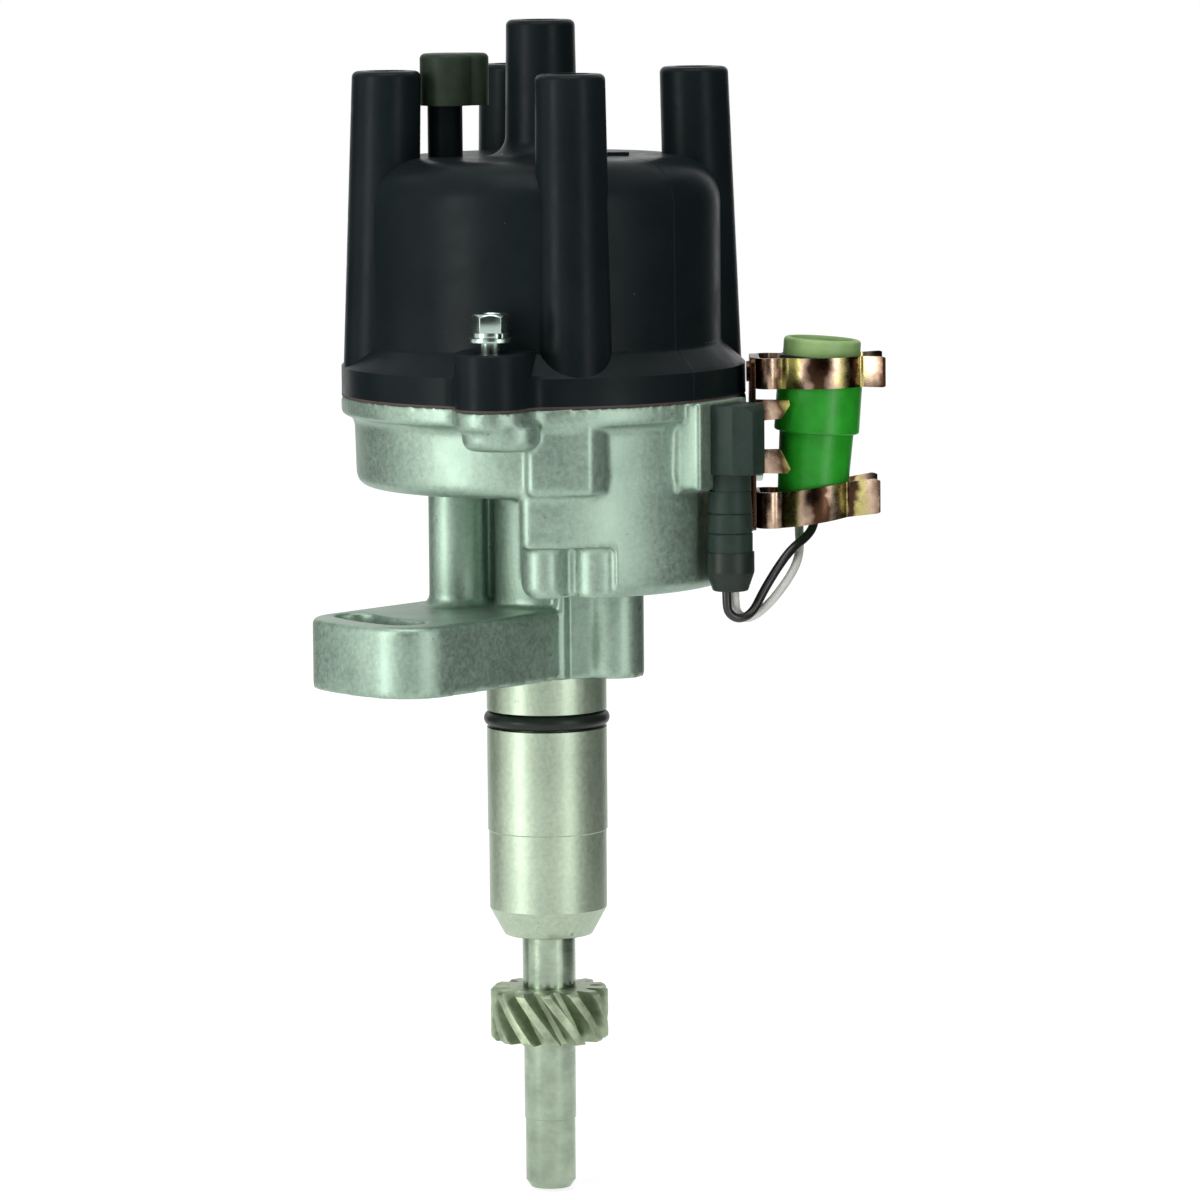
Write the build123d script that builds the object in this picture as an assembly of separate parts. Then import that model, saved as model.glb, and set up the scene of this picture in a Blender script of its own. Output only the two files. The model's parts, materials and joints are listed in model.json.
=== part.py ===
from build123d import *
import os
from math import atan2, cos, degrees, hypot, pi, radians, sin, tan

# Ignition distributor for a four-cylinder engine.
#
# A cast housing carries the drive shaft in two bushes and clamps to the engine by a slotted foot.
# A helical gear turns the shaft. Inside the bowl two flyweights advance a toothed timing rotor in
# front of a magnetic pick-up. A tall moulded cap with five towers takes the spark plug leads, and
# the pick-up wires end in a small round connector, held by two spring clips at the side.
#
# Millimetres, +Z up along the shaft. The origin is on the shaft axis, in the underside of the foot.
# +X is the connector side and -Y is the side with the cap screw in view.

# Fits, named once and used wherever two pieces meet
RUNNING_FIT = 0.03          # radial, shaft in bush, weight on its pin
SLIP_FIT = 0.05             # radial, screws, terminals and brush in their holes
AXIAL_PLAY = 0.2            # between pieces that turn past each other
CLIP_CLEARANCE = 0.45       # between a spring clip and the leaning connector

# Housing casting
bowl_radius = 42.4
bowl_wall = 3.5
bowl_bottom_z = 42.8
bowl_floor = 3.5
bowl_inner_radius = bowl_radius - bowl_wall
rim_z = 63.0
lip_overhang = 2.9          # of the lip past the bowl
lip_radius = bowl_radius + lip_overhang
lip_height = 4.2
lip_cove = 1.6
lip_edge = 0.9
chamber_bottom_z = 20.7
chamber_side_x = -5.0
chamber_corner_radius = 2.4
chamber_edge_radius = 3.2
chamber_space_front_y = -31.0
neck_skin = 0.6             # of the casting round the tube, inside the chamber
ceiling_z = 32.2            # underside of the part of the chamber that stands forward
parting_z = 41.0            # where the casting is parted into bowl and lower chamber
neck_radius = 11.8
neck_ring_radius = 16.0
neck_ring_drop = 2.4
column_radius = 6.4
column_x = -19.7
column_y = -2.5
column_skirt = 1.6
web_front_y = -1.0
web_back_y = 8.0
side_boss_radius = 6.7
side_boss_x = 15.3
side_boss_y = -8.2
side_web_front_y = -12.6
side_web_back_y = -4.0
neck_rib_x = 3.6
neck_rib_radius = 1.3
neck_rib_front_y = -14.9
bearing_boss_radius = 11.0
bearing_boss_top_z = 48.0

# Relief under the part of the chamber that stands forward
relief_centre_x = 3.6
relief_width = 24.0
relief_depth = 8.4
relief_swells = ((0.3, -33.6, 5.5), (11.6, -33.2, 5.6))     # x, y and radius of the two swellings in it

# Flat pad on the front of the bowl
front_pad_left_x = -3.6
front_pad_right_x = 13.8
front_pad_rise = 1.7
front_pad_bevel = 3.4

# Foot with its adjusting slot
foot_height = 15.6
foot_radius = 58.0
foot_azimuth = 228.7        # direction of the foot from the shaft, seen from above
foot_right_width = 12.5     # from the shaft axis to the right-hand side
foot_left_width = 25.5
foot_inner_start = 11.2     # where the right-hand side begins, along the foot
foot_corner_radius = 11.0
slot_pitch_radius = 47.0
slot_azimuth = 218.1
slot_half_angle = 10.7
slot_width = 9.5

# Spigot that enters the engine block
spigot_radius = 13.5
spigot_lower_radius = 13.25
spigot_step_z = -35.8
spigot_cone_z = -53.3
spigot_bottom_z = -59.5
spigot_collar_height = 1.2   # how far the spigot's full width goes up into the foot
spigot_nose_radius = 9.9
ring_groove_top_z = -8.3
ring_groove_width = 4.0
ring_section = 3.4
ring_outer_radius = 14.15

# Shaft, bushes and gear
shaft_radius = 6.0
journal_radius = 5.85
tip_journal_radius = 5.65
tip_journal_top_z = -101.7
shaft_bottom_z = -117.5
tip_chamfer = 1.6
bush_radius = 8.0
upper_bush_length = 24.0
lower_bush_length = 17.0
washer_thickness = 0.8
washer_outer_radius = 8.3
counterbore_radius = 8.6
counterbore_depth = 3.2
snap_ring_thickness = 1.0
snap_ring_outer_radius = 7.6
snap_groove_depth = 0.6
gear_top_z = -71.7
gear_height = 11.8
gear_tip_radius = 13.3
gear_root_radius = 9.3
gear_teeth = 13
gear_helix_deg = 33.0
gear_tip_share = 0.36       # share of the pitch taken by a tooth at its tip
gear_root_share = 0.70
gear_chamfer = 0.7
gear_pin_radius = 2.0
gear_pin_length = 18.0

# Centrifugal advance
spindle_radius = 4.0
governor_plate_radius = 26.0
governor_plate_thickness = 1.8
weight_inner_radius = 11.5
weight_outer_radius = 24.0
weight_thickness = 3.5
weight_start_deg = 10.0
weight_end_deg = 152.0
pivot_radius = 18.0
pivot_deg = 25.0
pivot_pin_radius = 2.0
drive_pin_orbit = 15.0
drive_pin_deg = 115.0
drive_pin_radius = 1.5
drive_slot_clearance = 0.2
drive_pin_travel = 3.9      # outward travel of the drive pin at full advance
cam_plate_thickness = 1.4
cam_hub_radius = 12.0
cam_arm_radius = 22.5
cam_arm_width = 10.0
spring_post_deg = -25.0
spring_post_radius = 1.5
spring_radius = 1.3
spring_wire = 0.5
sleeve_radius = 7.0
sleeve_top_z = 82.0
spindle_top_z = 80.5
spindle_ring_radius = 5.6

# Magnetic pick-up
plate_z = 59.2
plate_thickness = 1.4
plate_inner_radius = 19.0
plate_gap = 0.7             # between the plate and the bowl wall
plate_outer_radius = bowl_inner_radius - plate_gap
plate_screw_inset = 3.0     # from the plate's edge
plate_post_orbit = plate_outer_radius - plate_screw_inset
plate_post_radius = 4.5
plate_post_deg = (30.0, 150.0, 270.0)
plate_screw_radius = 2.0
plate_screw_length = 7.0
plate_screw_hole_depth = 8.0
plate_screw_head_radius = 3.3
plate_screw_head_height = 2.2
trigger_teeth = 4
trigger_tip_radius = 15.0
trigger_root_radius = 10.5
trigger_tooth_width = 4.2
trigger_height = 6.0
pole_gap = 0.4
pickup_azimuth = -33.0
pole_width = 4.0
pole_height = 5.0
coil_length = 9.0
coil_radius = 5.6
magnet_length = 4.0
yoke_length = 20.0

# Rotor arm
rotor_bottom_z = 70.5
rotor_hub_radius = 11.5
rotor_top_z = 98.0
rotor_arm_width = 9.0
rotor_skirt_radius = 17.0
rotor_skirt_height = 2.0
rotor_blend_height = 5.0    # where the skirt ends in the hub
rotor_shoulder_radius = 10.5
rotor_shoulder_drop = 8.0   # below the top
rotor_head_radius = 9.0
rotor_arm_depth = 5.0
rotor_gusset_depth = 20.0
rotor_gusset_thickness = 3.0
rotor_gusset_inset = 3.0    # from the arm's outer end
rotor_tail_length = 15.0
rotor_tail_width = 8.0
rotor_tail_depth = 7.0
spark_gap = 0.7
electrode_thickness = 1.4
electrode_azimuth = 281.0
electrode_width = 6.0
electrode_pad_radius = 4.6
electrode_tip_thickness = 2.0
electrode_tip_width = 13.0
electrode_tip_drop = 4.0

# Cap
gasket_thickness = 0.5
cap_flange_inset = 0.1      # from the housing's lip
cap_flange_radius = lip_radius - cap_flange_inset
cap_flange_height = 6.8
cap_flange_edge = 0.7
cap_bevel_height = 4.3
cap_bevel_depth = 5.3
cap_bevel_radius = cap_flange_radius - cap_bevel_depth
cap_wall = 3.4
dome_inset = 5.4            # from the flange
dome_radius = cap_flange_radius - dome_inset
dome_top_z = 116.0
dome_edge_radius = 10.5
dome_roof = 3.6
tower_count = 4
tower_rise = 19.3           # above the dome
tower_top_z = dome_top_z + tower_rise
tower_top_radius = 7.65
tower_top_inset = 5.0       # from the dome's side to the tower's axis
tower_top_orbit = dome_radius - tower_top_inset
tower_foot_radius = 8.4
tower_foot_inset = 3.0
tower_foot_orbit = dome_radius - tower_foot_inset
tower_foot_z = 68.0
tower_azimuth = -79.0       # front tower; the others follow at equal spacing
tower_edge_radius = 1.4
socket_radius = 4.3
socket_depth = 19.0         # down to the floor under the terminal's cup
centre_tower_rise = 30.2
centre_tower_top_z = dome_top_z + centre_tower_rise
centre_tower_foot_radius = 8.1
centre_tower_blend = 4.5
centre_boss_radius = 5.5
centre_boss_drop = 6.0
terminal_radius = 3.0
terminal_drop = 5.0         # below the top of the rotor arm
terminal_bottom_z = rotor_top_z - terminal_drop
terminal_stem_radius = 2.6
terminal_cup_height = 5.0
terminal_cup_radius = 3.8
terminal_cup_bore_radius = 2.4
terminal_cup_floor = 1.0
brush_radius = 2.4
brush_length = 10.0
brush_spring_length = 5.5
brush_spring_wire = 0.5
vent_x = -19.4
vent_y = -1.5
vent_post_radius = 3.9
vent_post_x = -21.4
vent_bore_radius = 1.6
vent_cover_bottom_z = dome_top_z + 11.4
vent_cover_top_z = dome_top_z + 22.9
vent_cover_half_width = 7.2
vent_cover_wall = 1.4
roof_pad_height = 0.8

# Cap screws with their two washers, and the ears that take them
screw_azimuth = -103.4
screw_outset = 2.2          # past the lip
screw_orbit = lip_radius + screw_outset
ear_radius = 8.0
ear_blend = 5.0
ear_top_z = 75.5
lug_bottom_z = 54.2
lug_radius = 6.5
lug_edge = 2.6
lug_shift = 4.0             # the lug's second lobe, towards the flat pad
cap_screw_radius = 2.5
cap_screw_head_bottom_z = 80.0
cap_screw_head_height = 4.1
cap_screw_head_across = 8.0
cap_screw_bottom_z = 57.0
spring_washer_thickness = 1.2
spring_washer_radius = 4.2
plain_washer_thickness = 0.9
plain_washer_radius = 5.0

# Side pad, lead-out block and boot
pad_azimuth = -33.0
pad_outset = 5.0
pad_distance = bowl_radius + pad_outset
pad_half_width = 10.0
pad_bottom_z = 43.6
window_half_width = 4.0
window_bottom_z = 49.0
window_top_z = 58.0
grommet_depth = 9.0
grommet_half_width = 5.6
grommet_bottom_z = 47.0
grommet_top_z = 62.4
boot_outset = 1.5           # from the pad's face to the boot's axis
boot_orbit = pad_distance + boot_outset
boot_radius = 5.0
boot_top_z = 43.2
boot_joint_z = 29.6
boot_bottom_z = 21.0
sleeve_end_radius = 5.35
sleeve_tip_radius = 3.9
boot_rings_z = (33.9, 38.3)
boot_groove_depth = 0.25

# Wires
wire_radius = 1.0
wire_gap = 0.2
wire_pair_deg = 40.0        # direction from the black wire to the white one in the sleeve
wire_start_z = 24.0         # the wires go this far up into the sleeve
wire_drop_z = 18.9
wire_end_run = 3.4
wire_end_places = ((0.9, -1.4), (-2.6, 1.4))    # in the connector's underside, from its axis
black_bends_from_sleeve = ((0.4, 0.4, 15.9), (2.8, 1.0, 14.5), (5.8, 3.1, 15.6))
black_bends_from_connector = (
    (-12.9, -14.0, 20.3), (-9.4, -11.2, 25.6), (-6.3, -8.0, 29.2), (-3.0, -4.3, 31.2))
white_bends_from_sleeve = ((0.5, 2.7, 15.4), (3.0, 4.4, 13.9), (6.9, 4.6, 16.4))
white_bends_from_connector = ((-8.4, -11.6, 21.0), (-5.4, -7.9, 25.3), (-4.4, -2.6, 28.6))

# Connector, its bracket and clips
bracket_outset = 3.5        # from the bowl
bracket_x = bowl_radius + bracket_outset
connector_reach = 15.4      # from the bracket
connector_x = bracket_x + connector_reach
connector_y = -8.0
connector_z = 62.0
connector_lean_deg = 4.0
connector_top_radius = 9.5
connector_step_z = 54.4
connector_top_z = 70.2
connector_low_radius = 8.3
connector_foot_radius = 7.7
connector_bottom_z = 37.0
connector_floor_z = 48.0
connector_bore_radius = 6.9
seal_height = 1.2
seal_radius = 9.3
collar_radius = 8.6
collar_bore_radius = 7.0
collar_height = 3.9
contact_pin_radius = 0.9
contact_pin_spacing = 5.0
contact_pin_top_z = 62.0
bracket_thickness = 1.2
bracket_front_y = -16.6
bracket_back_y = 9.0
bracket_bottom_z = 33.0
bracket_top_z = 71.6
bracket_screw_y = 3.5
bracket_screw_z = 45.9
bracket_screw_radius = 2.0
bracket_screw_depth = 6.0   # into the housing
bracket_screw_head_radius = 3.6
bracket_screw_head_height = 2.0
bracket_boss_radius = 4.6
tab_thickness = 0.9
clip_thickness = 0.9
upper_clip_z = (64.6, 71.4)
upper_clip_end_x = connector_x + 14.9
lower_clip_z = (33.4, 41.4)
lower_clip_end_x = connector_x + 13.7
rivet_radius = 1.5

# Places worked out from the sizes above
cap_base_z = rim_z + gasket_thickness
bowl_floor_z = bowl_bottom_z + bowl_floor
lower_bush_bottom_z = spigot_bottom_z + counterbore_depth
governor_bottom_z = bearing_boss_top_z + washer_thickness + AXIAL_PLAY
governor_top_z = governor_bottom_z + governor_plate_thickness
weight_bottom_z = governor_top_z + AXIAL_PLAY
weight_top_z = weight_bottom_z + weight_thickness
cam_bottom_z = weight_top_z + AXIAL_PLAY
cam_top_z = cam_bottom_z + cam_plate_thickness
spring_z = cam_top_z + AXIAL_PLAY + spring_radius
post_top_z = spring_z + spring_radius
trigger_bottom_z = plate_z + plate_thickness + AXIAL_PLAY
dome_inner_radius = dome_radius - cap_wall
roof_z = dome_top_z - dome_roof
socket_floor_z = tower_top_z - socket_depth
centre_floor_z = centre_tower_top_z - socket_depth - terminal_cup_height
boss_bottom_z = roof_z - centre_boss_drop
electrode_top_z = rotor_top_z + electrode_thickness
brush_bottom_z = electrode_top_z
brush_top_z = brush_bottom_z + brush_length
electrode_radius = tower_top_orbit - terminal_radius - spark_gap
screw_places = [
    (screw_orbit * cos(radians(screw_azimuth + turn)), screw_orbit * sin(radians(screw_azimuth + turn)))
    for turn in (0, 180)
]
clip_root_x = bracket_x + bracket_thickness


def polar(radius, angle):
    """Point at a radius and an angle in degrees, seen from above."""
    return (radius * cos(radians(angle)), radius * sin(radians(angle)))


def rod(radius, low, high, at=(0, 0)):
    """Upright round bar between two heights."""
    standing = (Align.CENTER, Align.CENTER, Align.MIN)
    return Pos(at[0], at[1], low) * Cylinder(radius, high - low, align=standing)


def pipe(outer, inner, low, high, at=(0, 0)):
    """Upright tube between two heights."""
    return rod(outer, low, high, at) - rod(inner, low - 1, high + 1, at)


def block(x_range, y_range, z_range):
    """Box between two values on each axis."""
    size = [b - a for a, b in (x_range, y_range, z_range)]
    middle = [(a + b) / 2 for a, b in (x_range, y_range, z_range)]
    return Pos(*middle) * Box(*size)


def outline(*points):
    """Flat face from corner points (x, y) or (x, y, corner radius)."""
    face = make_face(Polyline(*[point[:2] for point in points], close=True))
    for point in points:
        if len(point) == 3:
            corner = face.vertices().sort_by_distance((point[0], point[1], 0))[0]
            face = fillet(corner, point[2])
    return face


def turned(*points):
    """Solid of revolution about the shaft axis from (radius, height) or (radius, height, corner)."""
    return revolve(Plane.XZ * outline(*points), Axis.Z)


def raised(face, low, high):
    """Flat face extruded between two heights."""
    return extrude(Pos(0, 0, low) * face, high - low, dir=(0, 0, 1))


def across(face, start, stop):
    """Face drawn in X and Z, extruded along Y from start to stop."""
    return extrude(Pos(0, start, 0) * (Plane.XZ * face), stop - start, dir=(0, 1, 0))


def eared_face(radius):
    """Disc with a rounded ear at each cap screw, blended by concave fillets."""
    face = Circle(radius)
    for place in screw_places:
        face += Pos(*place) * Circle(ear_radius)
    corners = [
        v for v in face.vertices()
        if abs(hypot(v.X, v.Y) - radius) < 0.01
        and min(abs(hypot(v.X - x, v.Y - y) - ear_radius) for x, y in screw_places) < 0.01
    ]
    return fillet(corners, ear_blend)


def chamber_face(radius, side_x, front_y=None):
    """D-shaped outline of the lower chamber, on the connector side of the shaft."""
    face = Circle(radius) & Pos(side_x + radius, 0) * Rectangle(2 * radius, 4 * radius)
    if front_y is None:
        return fillet(face.vertices(), chamber_corner_radius)
    return face & Pos(0, front_y + 2 * radius) * Rectangle(4 * radius, 4 * radius)


def foot_face():
    """Foot seen from above: a wide strap with rounded outer corners."""
    along = polar(1, foot_azimuth)
    right = (-along[1], along[0])

    def spot(side, distance):
        return (right[0] * side + along[0] * distance, right[1] * side + along[1] * distance)

    reach = foot_radius + foot_left_width
    strap = outline(
        spot(foot_right_width, foot_inner_start),
        spot(foot_right_width, reach),
        spot(-foot_left_width, reach),
        spot(-foot_left_width, 3) + (8.0,),
        (-4.0, neck_radius),
        (neck_radius / 2, -neck_radius / 2),
    )
    face = strap & Circle(foot_radius)
    outer = [v for v in face.vertices() if hypot(v.X, v.Y) > foot_radius - 0.5]
    return fillet(outer, foot_corner_radius)


def slot_solid():
    """Adjusting slot, an arc about the shaft axis."""
    start = polar(slot_pitch_radius, slot_azimuth - slot_half_angle)
    middle = polar(slot_pitch_radius, slot_azimuth)
    stop = polar(slot_pitch_radius, slot_azimuth + slot_half_angle)
    ring = Circle(slot_pitch_radius + slot_width / 2) - Circle(slot_pitch_radius - slot_width / 2)
    wedge = outline((0, 0), polar(80, slot_azimuth - slot_half_angle), polar(95, slot_azimuth),
                    polar(80, slot_azimuth + slot_half_angle))
    face = (ring & wedge) + Pos(*start) * Circle(slot_width / 2) + Pos(*stop) * Circle(slot_width / 2)
    return raised(face, -1, foot_height + 1)


def foot_strap():
    """The foot on its own, with its slot and softened upper rim."""
    foot = raised(foot_face(), 0, foot_height)
    foot = chamfer(foot.faces().sort_by(Axis.Z)[-1].edges(), 0.8)
    return foot - slot_solid()


def clamp_foot():
    """Foot of the casting, parted from it along the neck so that its slot stays open in collision."""
    foot = foot_strap() - neck_shape(-1, foot_height + 1)
    return foot - rod(spigot_radius, -1, spigot_collar_height)


def neck_shape(low, high):
    """Neck, side boss and the ribs between them, between two heights."""
    shape = rod(neck_radius, low, high)
    shape += rod(side_boss_radius, low, high, (side_boss_x, side_boss_y))
    shape += block((neck_radius / 2, side_boss_x), (side_web_front_y, side_web_back_y), (low, high))
    shape += rod(neck_rib_radius, low, high, (neck_rib_x, neck_rib_front_y + neck_rib_radius))
    shape += block((neck_rib_x - neck_rib_radius, neck_rib_x + neck_rib_radius),
                   (neck_rib_front_y + neck_rib_radius, -neck_radius / 2), (low, high))
    return shape


def screw_lug(place):
    """Boss under a cap screw, drawn out to one side and rounded below."""
    side = degrees(atan2(place[1], place[0])) + 90
    face = SlotCenterToCenter(lug_shift, 2 * lug_radius)
    lug = raised(Pos(place[0], place[1]) * Rot(0, 0, side) * Pos(lug_shift / 2, 0) * face,
                 lug_bottom_z, rim_z - lip_height + 1)
    return fillet(lug.edges().group_by(Axis.Z)[0], lug_edge)


def chamber_block():
    """Lower chamber, with the part that stands forward and the relief under it."""
    chamber = raised(chamber_face(bowl_radius, chamber_side_x), chamber_bottom_z, bowl_floor_z)
    chamber = fillet(chamber.edges().group_by(Axis.Z)[0], chamber_edge_radius)
    relief = Pos(relief_centre_x, -bowl_radius) * Rectangle(relief_width, 2 * relief_depth)
    for x, y, radius in relief_swells:
        relief -= Pos(x, y) * Circle(radius)
        relief -= Pos(x, y + radius) * Rectangle(2 * radius, 2 * radius)
    relief = relief.faces().sort_by(SortBy.AREA)[-1]
    return chamber - raised(relief, chamber_bottom_z - 1, ceiling_z)


def front_pad():
    """Flat pad on the front of the bowl, next to the cap screw."""
    front_y = -bowl_radius - front_pad_rise
    face = outline(
        (front_pad_left_x, -bowl_inner_radius),
        (front_pad_left_x, front_y, 1.4),
        (front_pad_right_x - front_pad_bevel, front_y, 1.0),
        (front_pad_right_x, front_y + front_pad_bevel, 1.0),
        (front_pad_right_x, -bowl_inner_radius),
    )
    pad = raised(face, bowl_bottom_z + 1.0, rim_z - lip_height + 0.4)
    return fillet(pad.edges().group_by(Axis.Z)[0], 1.2)


def spigot():
    """Tube of the casting: the spigot, the neck and the upper bearing boss, bored for the two bushes."""
    ring_floor = ring_outer_radius - ring_section
    groove_low = ring_groove_top_z - ring_groove_width
    tube = turned(
        (0, spigot_bottom_z),
        (spigot_nose_radius, spigot_bottom_z, 0.5),
        (spigot_lower_radius, spigot_cone_z),
        (spigot_lower_radius, spigot_step_z),
        (spigot_radius, spigot_step_z + 0.25),
        (spigot_radius, groove_low),
        (ring_floor, groove_low),
        (ring_floor, ring_groove_top_z),
        (spigot_radius, ring_groove_top_z),
        (spigot_radius, spigot_collar_height),
        (neck_radius, spigot_collar_height),
        (neck_radius, bowl_floor_z),
        (bearing_boss_radius, bowl_floor_z),
        (bearing_boss_radius, bearing_boss_top_z),
        (0, bearing_boss_top_z),
    )
    tube -= rod(bush_radius, spigot_bottom_z - 1, bearing_boss_top_z + 1)
    return tube - rod(counterbore_radius, spigot_bottom_z - 1, lower_bush_bottom_z)


def casting():
    """Bowl and lower chamber of the casting, with the column, web and ribs round the neck."""
    flange_bottom_z = rim_z - lip_height
    body = turned(
        (0, bowl_bottom_z),
        (bowl_radius - 0.4, bowl_bottom_z, 3.0),
        (bowl_radius, flange_bottom_z - lip_cove, 1.2),
        (bowl_radius + lip_cove, flange_bottom_z + 0.4),
        (bowl_radius + lip_cove, rim_z - 1),
        (0, rim_z - 1),
    )
    lip = raised(eared_face(lip_radius), flange_bottom_z, rim_z)
    body += fillet(lip.edges().group_by(Axis.Z)[0], lip_edge)
    for place in screw_places:
        body += screw_lug(place)
    body += chamber_block()
    body += front_pad()

    # Side boss and ribs beside the neck, column and web
    body += neck_shape(0, chamber_bottom_z + 1)
    body += rod(neck_ring_radius, bowl_bottom_z - neck_ring_drop, bowl_bottom_z + 1)
    body += rod(column_radius, foot_height, bowl_bottom_z + 1, (column_x, column_y))
    skirt = turned((0, foot_height), (column_radius + column_skirt, foot_height),
                   (column_radius, foot_height + column_skirt, column_skirt),
                   (0, foot_height + column_skirt))
    body += Pos(column_x, column_y, 0) * skirt
    body += block((column_x, 0), (web_front_y, web_back_y), (foot_height, bowl_bottom_z + 1))

    # Side pad for the lead-out block, and the boss for the clip bracket
    pad = block((bowl_inner_radius, pad_distance), (-pad_half_width, pad_half_width), (pad_bottom_z, rim_z))
    body += Rot(0, 0, pad_azimuth) * pad
    boss = Pos(bowl_inner_radius, bracket_screw_y, bracket_screw_z) * Rot(0, 90, 0) * Cylinder(
        bracket_boss_radius, bracket_x - bowl_inner_radius, align=(Align.CENTER, Align.CENTER, Align.MIN))
    body += boss

    # Hollow bowl and chamber
    bowl_space = rod(bowl_inner_radius, bowl_floor_z, rim_z + 1)
    chamber_space = raised(
        chamber_face(bowl_inner_radius, chamber_side_x + bowl_wall, chamber_space_front_y)
        - Circle(neck_radius + neck_skin),
        chamber_bottom_z + bowl_wall, bowl_floor_z + 0.1)
    body -= bowl_space + chamber_space
    for angle in plate_post_deg:
        place = polar(plate_post_orbit, angle)
        low = chamber_bottom_z if place[0] > chamber_side_x else bowl_bottom_z
        post = rod(plate_post_radius, low + 1.5, plate_z, place)
        body += post & rod(bowl_radius - 0.5, low + 1, plate_z)

    # Seat of the tube, and holes
    body -= rod(neck_radius, -1, bowl_floor_z + 1)
    body -= rod(spigot_radius, -1, spigot_collar_height)
    for place in screw_places:
        body -= rod(cap_screw_radius + SLIP_FIT, cap_screw_bottom_z - 1, rim_z + 1, place)
    for angle in plate_post_deg:
        body -= rod(plate_screw_radius + SLIP_FIT, plate_z - plate_screw_hole_depth, plate_z + 1,
                    polar(plate_post_orbit, angle))
    window = block((bowl_inner_radius - 3, pad_distance + 1), (-window_half_width, window_half_width),
                   (window_bottom_z, window_top_z))
    body -= Rot(0, 0, pad_azimuth) * window
    body -= Pos(bracket_x + 1, bracket_screw_y, bracket_screw_z) * Rot(0, -90, 0) * Cylinder(
        bracket_screw_radius + SLIP_FIT, bracket_screw_depth + 1.5,
        align=(Align.CENTER, Align.CENTER, Align.MIN))
    return body


def housing():
    """Bowl of the casting, down to just below its floor."""
    return casting() & rod(2 * bowl_radius, parting_z, rim_z + 1)


def lower_chamber():
    """The casting below the bowl, outside the tube."""
    return casting() & rod(2 * bowl_radius, -1, parting_z)


def spigot_o_ring():
    centre_radius = ring_outer_radius - ring_section / 2
    height = ring_groove_top_z - ring_groove_width / 2
    return Pos(0, 0, height) * Torus(centre_radius, ring_section / 2)


def upper_bush():
    return pipe(bush_radius, shaft_radius + RUNNING_FIT, bearing_boss_top_z - upper_bush_length,
                bearing_boss_top_z)


def lower_bush():
    return pipe(bush_radius, shaft_radius + RUNNING_FIT, lower_bush_bottom_z,
                lower_bush_bottom_z + lower_bush_length)


def snap_ring_z():
    return lower_bush_bottom_z - AXIAL_PLAY - washer_thickness - snap_ring_thickness


def main_shaft():
    """Stepped drive shaft with a snap-ring groove, a cross hole for the gear pin and a thin spindle."""
    ring_z = snap_ring_z()
    groove_radius = shaft_radius - snap_groove_depth
    ring_spot = spindle_top_z - 2.0
    shaft = turned(
        (0, shaft_bottom_z),
        (tip_journal_radius - tip_chamfer / 1.5, shaft_bottom_z),
        (tip_journal_radius, shaft_bottom_z + tip_chamfer),
        (tip_journal_radius, tip_journal_top_z),
        (journal_radius, tip_journal_top_z + 0.1),
        (journal_radius, gear_top_z - gear_height),
        (shaft_radius, gear_top_z - gear_height),
        (shaft_radius, ring_z),
        (groove_radius, ring_z),
        (groove_radius, ring_z + snap_ring_thickness),
        (shaft_radius, ring_z + snap_ring_thickness),
        (shaft_radius, governor_top_z),
        (spindle_radius, governor_top_z),
        (spindle_radius, ring_spot),
        (spindle_radius - snap_groove_depth, ring_spot),
        (spindle_radius - snap_groove_depth, ring_spot + snap_ring_thickness),
        (spindle_radius, ring_spot + snap_ring_thickness),
        (spindle_radius, spindle_top_z - 0.5),
        (spindle_radius - 0.5, spindle_top_z),
        (0, spindle_top_z),
    )
    return shaft - gear_pin()


def gear_pin():
    height = gear_top_z - gear_height / 2
    return Pos(0, 0, height) * Rot(0, 90, 0) * Cylinder(gear_pin_radius, gear_pin_length)


def drive_gear():
    """Helical gear: one twisted extrusion of the tooth outline, with its corners turned off."""
    pitch = 360 / gear_teeth
    points = []
    for tooth in range(gear_teeth):
        middle = tooth * pitch
        points += [
            polar(gear_root_radius, middle - gear_root_share * pitch / 2),
            polar(gear_tip_radius, middle - gear_tip_share * pitch / 2),
            polar(gear_tip_radius, middle + gear_tip_share * pitch / 2),
            polar(gear_root_radius, middle + gear_root_share * pitch / 2),
        ]
    face = make_face(Polyline(*points, close=True)).face()
    pitch_radius = (gear_tip_radius + gear_root_radius) / 2
    twist = degrees(gear_height * tan(radians(gear_helix_deg)) / pitch_radius)
    bottom = gear_top_z - gear_height
    blank = Solid.extrude_linear_with_rotation(
        Pos(0, 0, bottom) * face, Vector(0, 0, bottom), Vector(0, 0, gear_height), -twist)
    envelope = turned(
        (0, bottom),
        (gear_tip_radius - gear_chamfer, bottom),
        (gear_tip_radius + 0.02, bottom + gear_chamfer),
        (gear_tip_radius + 0.02, gear_top_z - gear_chamfer),
        (gear_tip_radius - gear_chamfer, gear_top_z),
        (0, gear_top_z),
    )
    return (blank & envelope) - rod(shaft_radius, bottom - 1, gear_top_z + 1) - gear_pin()


def upper_thrust_washer():
    return pipe(washer_outer_radius + 1.5, shaft_radius + SLIP_FIT, bearing_boss_top_z,
                bearing_boss_top_z + washer_thickness)


def lower_thrust_washer():
    top = lower_bush_bottom_z - AXIAL_PLAY
    return pipe(washer_outer_radius, shaft_radius + SLIP_FIT, top - washer_thickness, top)


def open_ring(outer, inner, low, thickness, gap):
    """Snap ring with its gap towards +X."""
    return pipe(outer, inner, low, low + thickness) - block((0, 2 * outer), (-gap / 2, gap / 2),
                                                            (low - 1, low + thickness + 1))


def shaft_snap_ring():
    return open_ring(snap_ring_outer_radius, shaft_radius - snap_groove_depth, snap_ring_z(),
                     snap_ring_thickness, 2.4)


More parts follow.
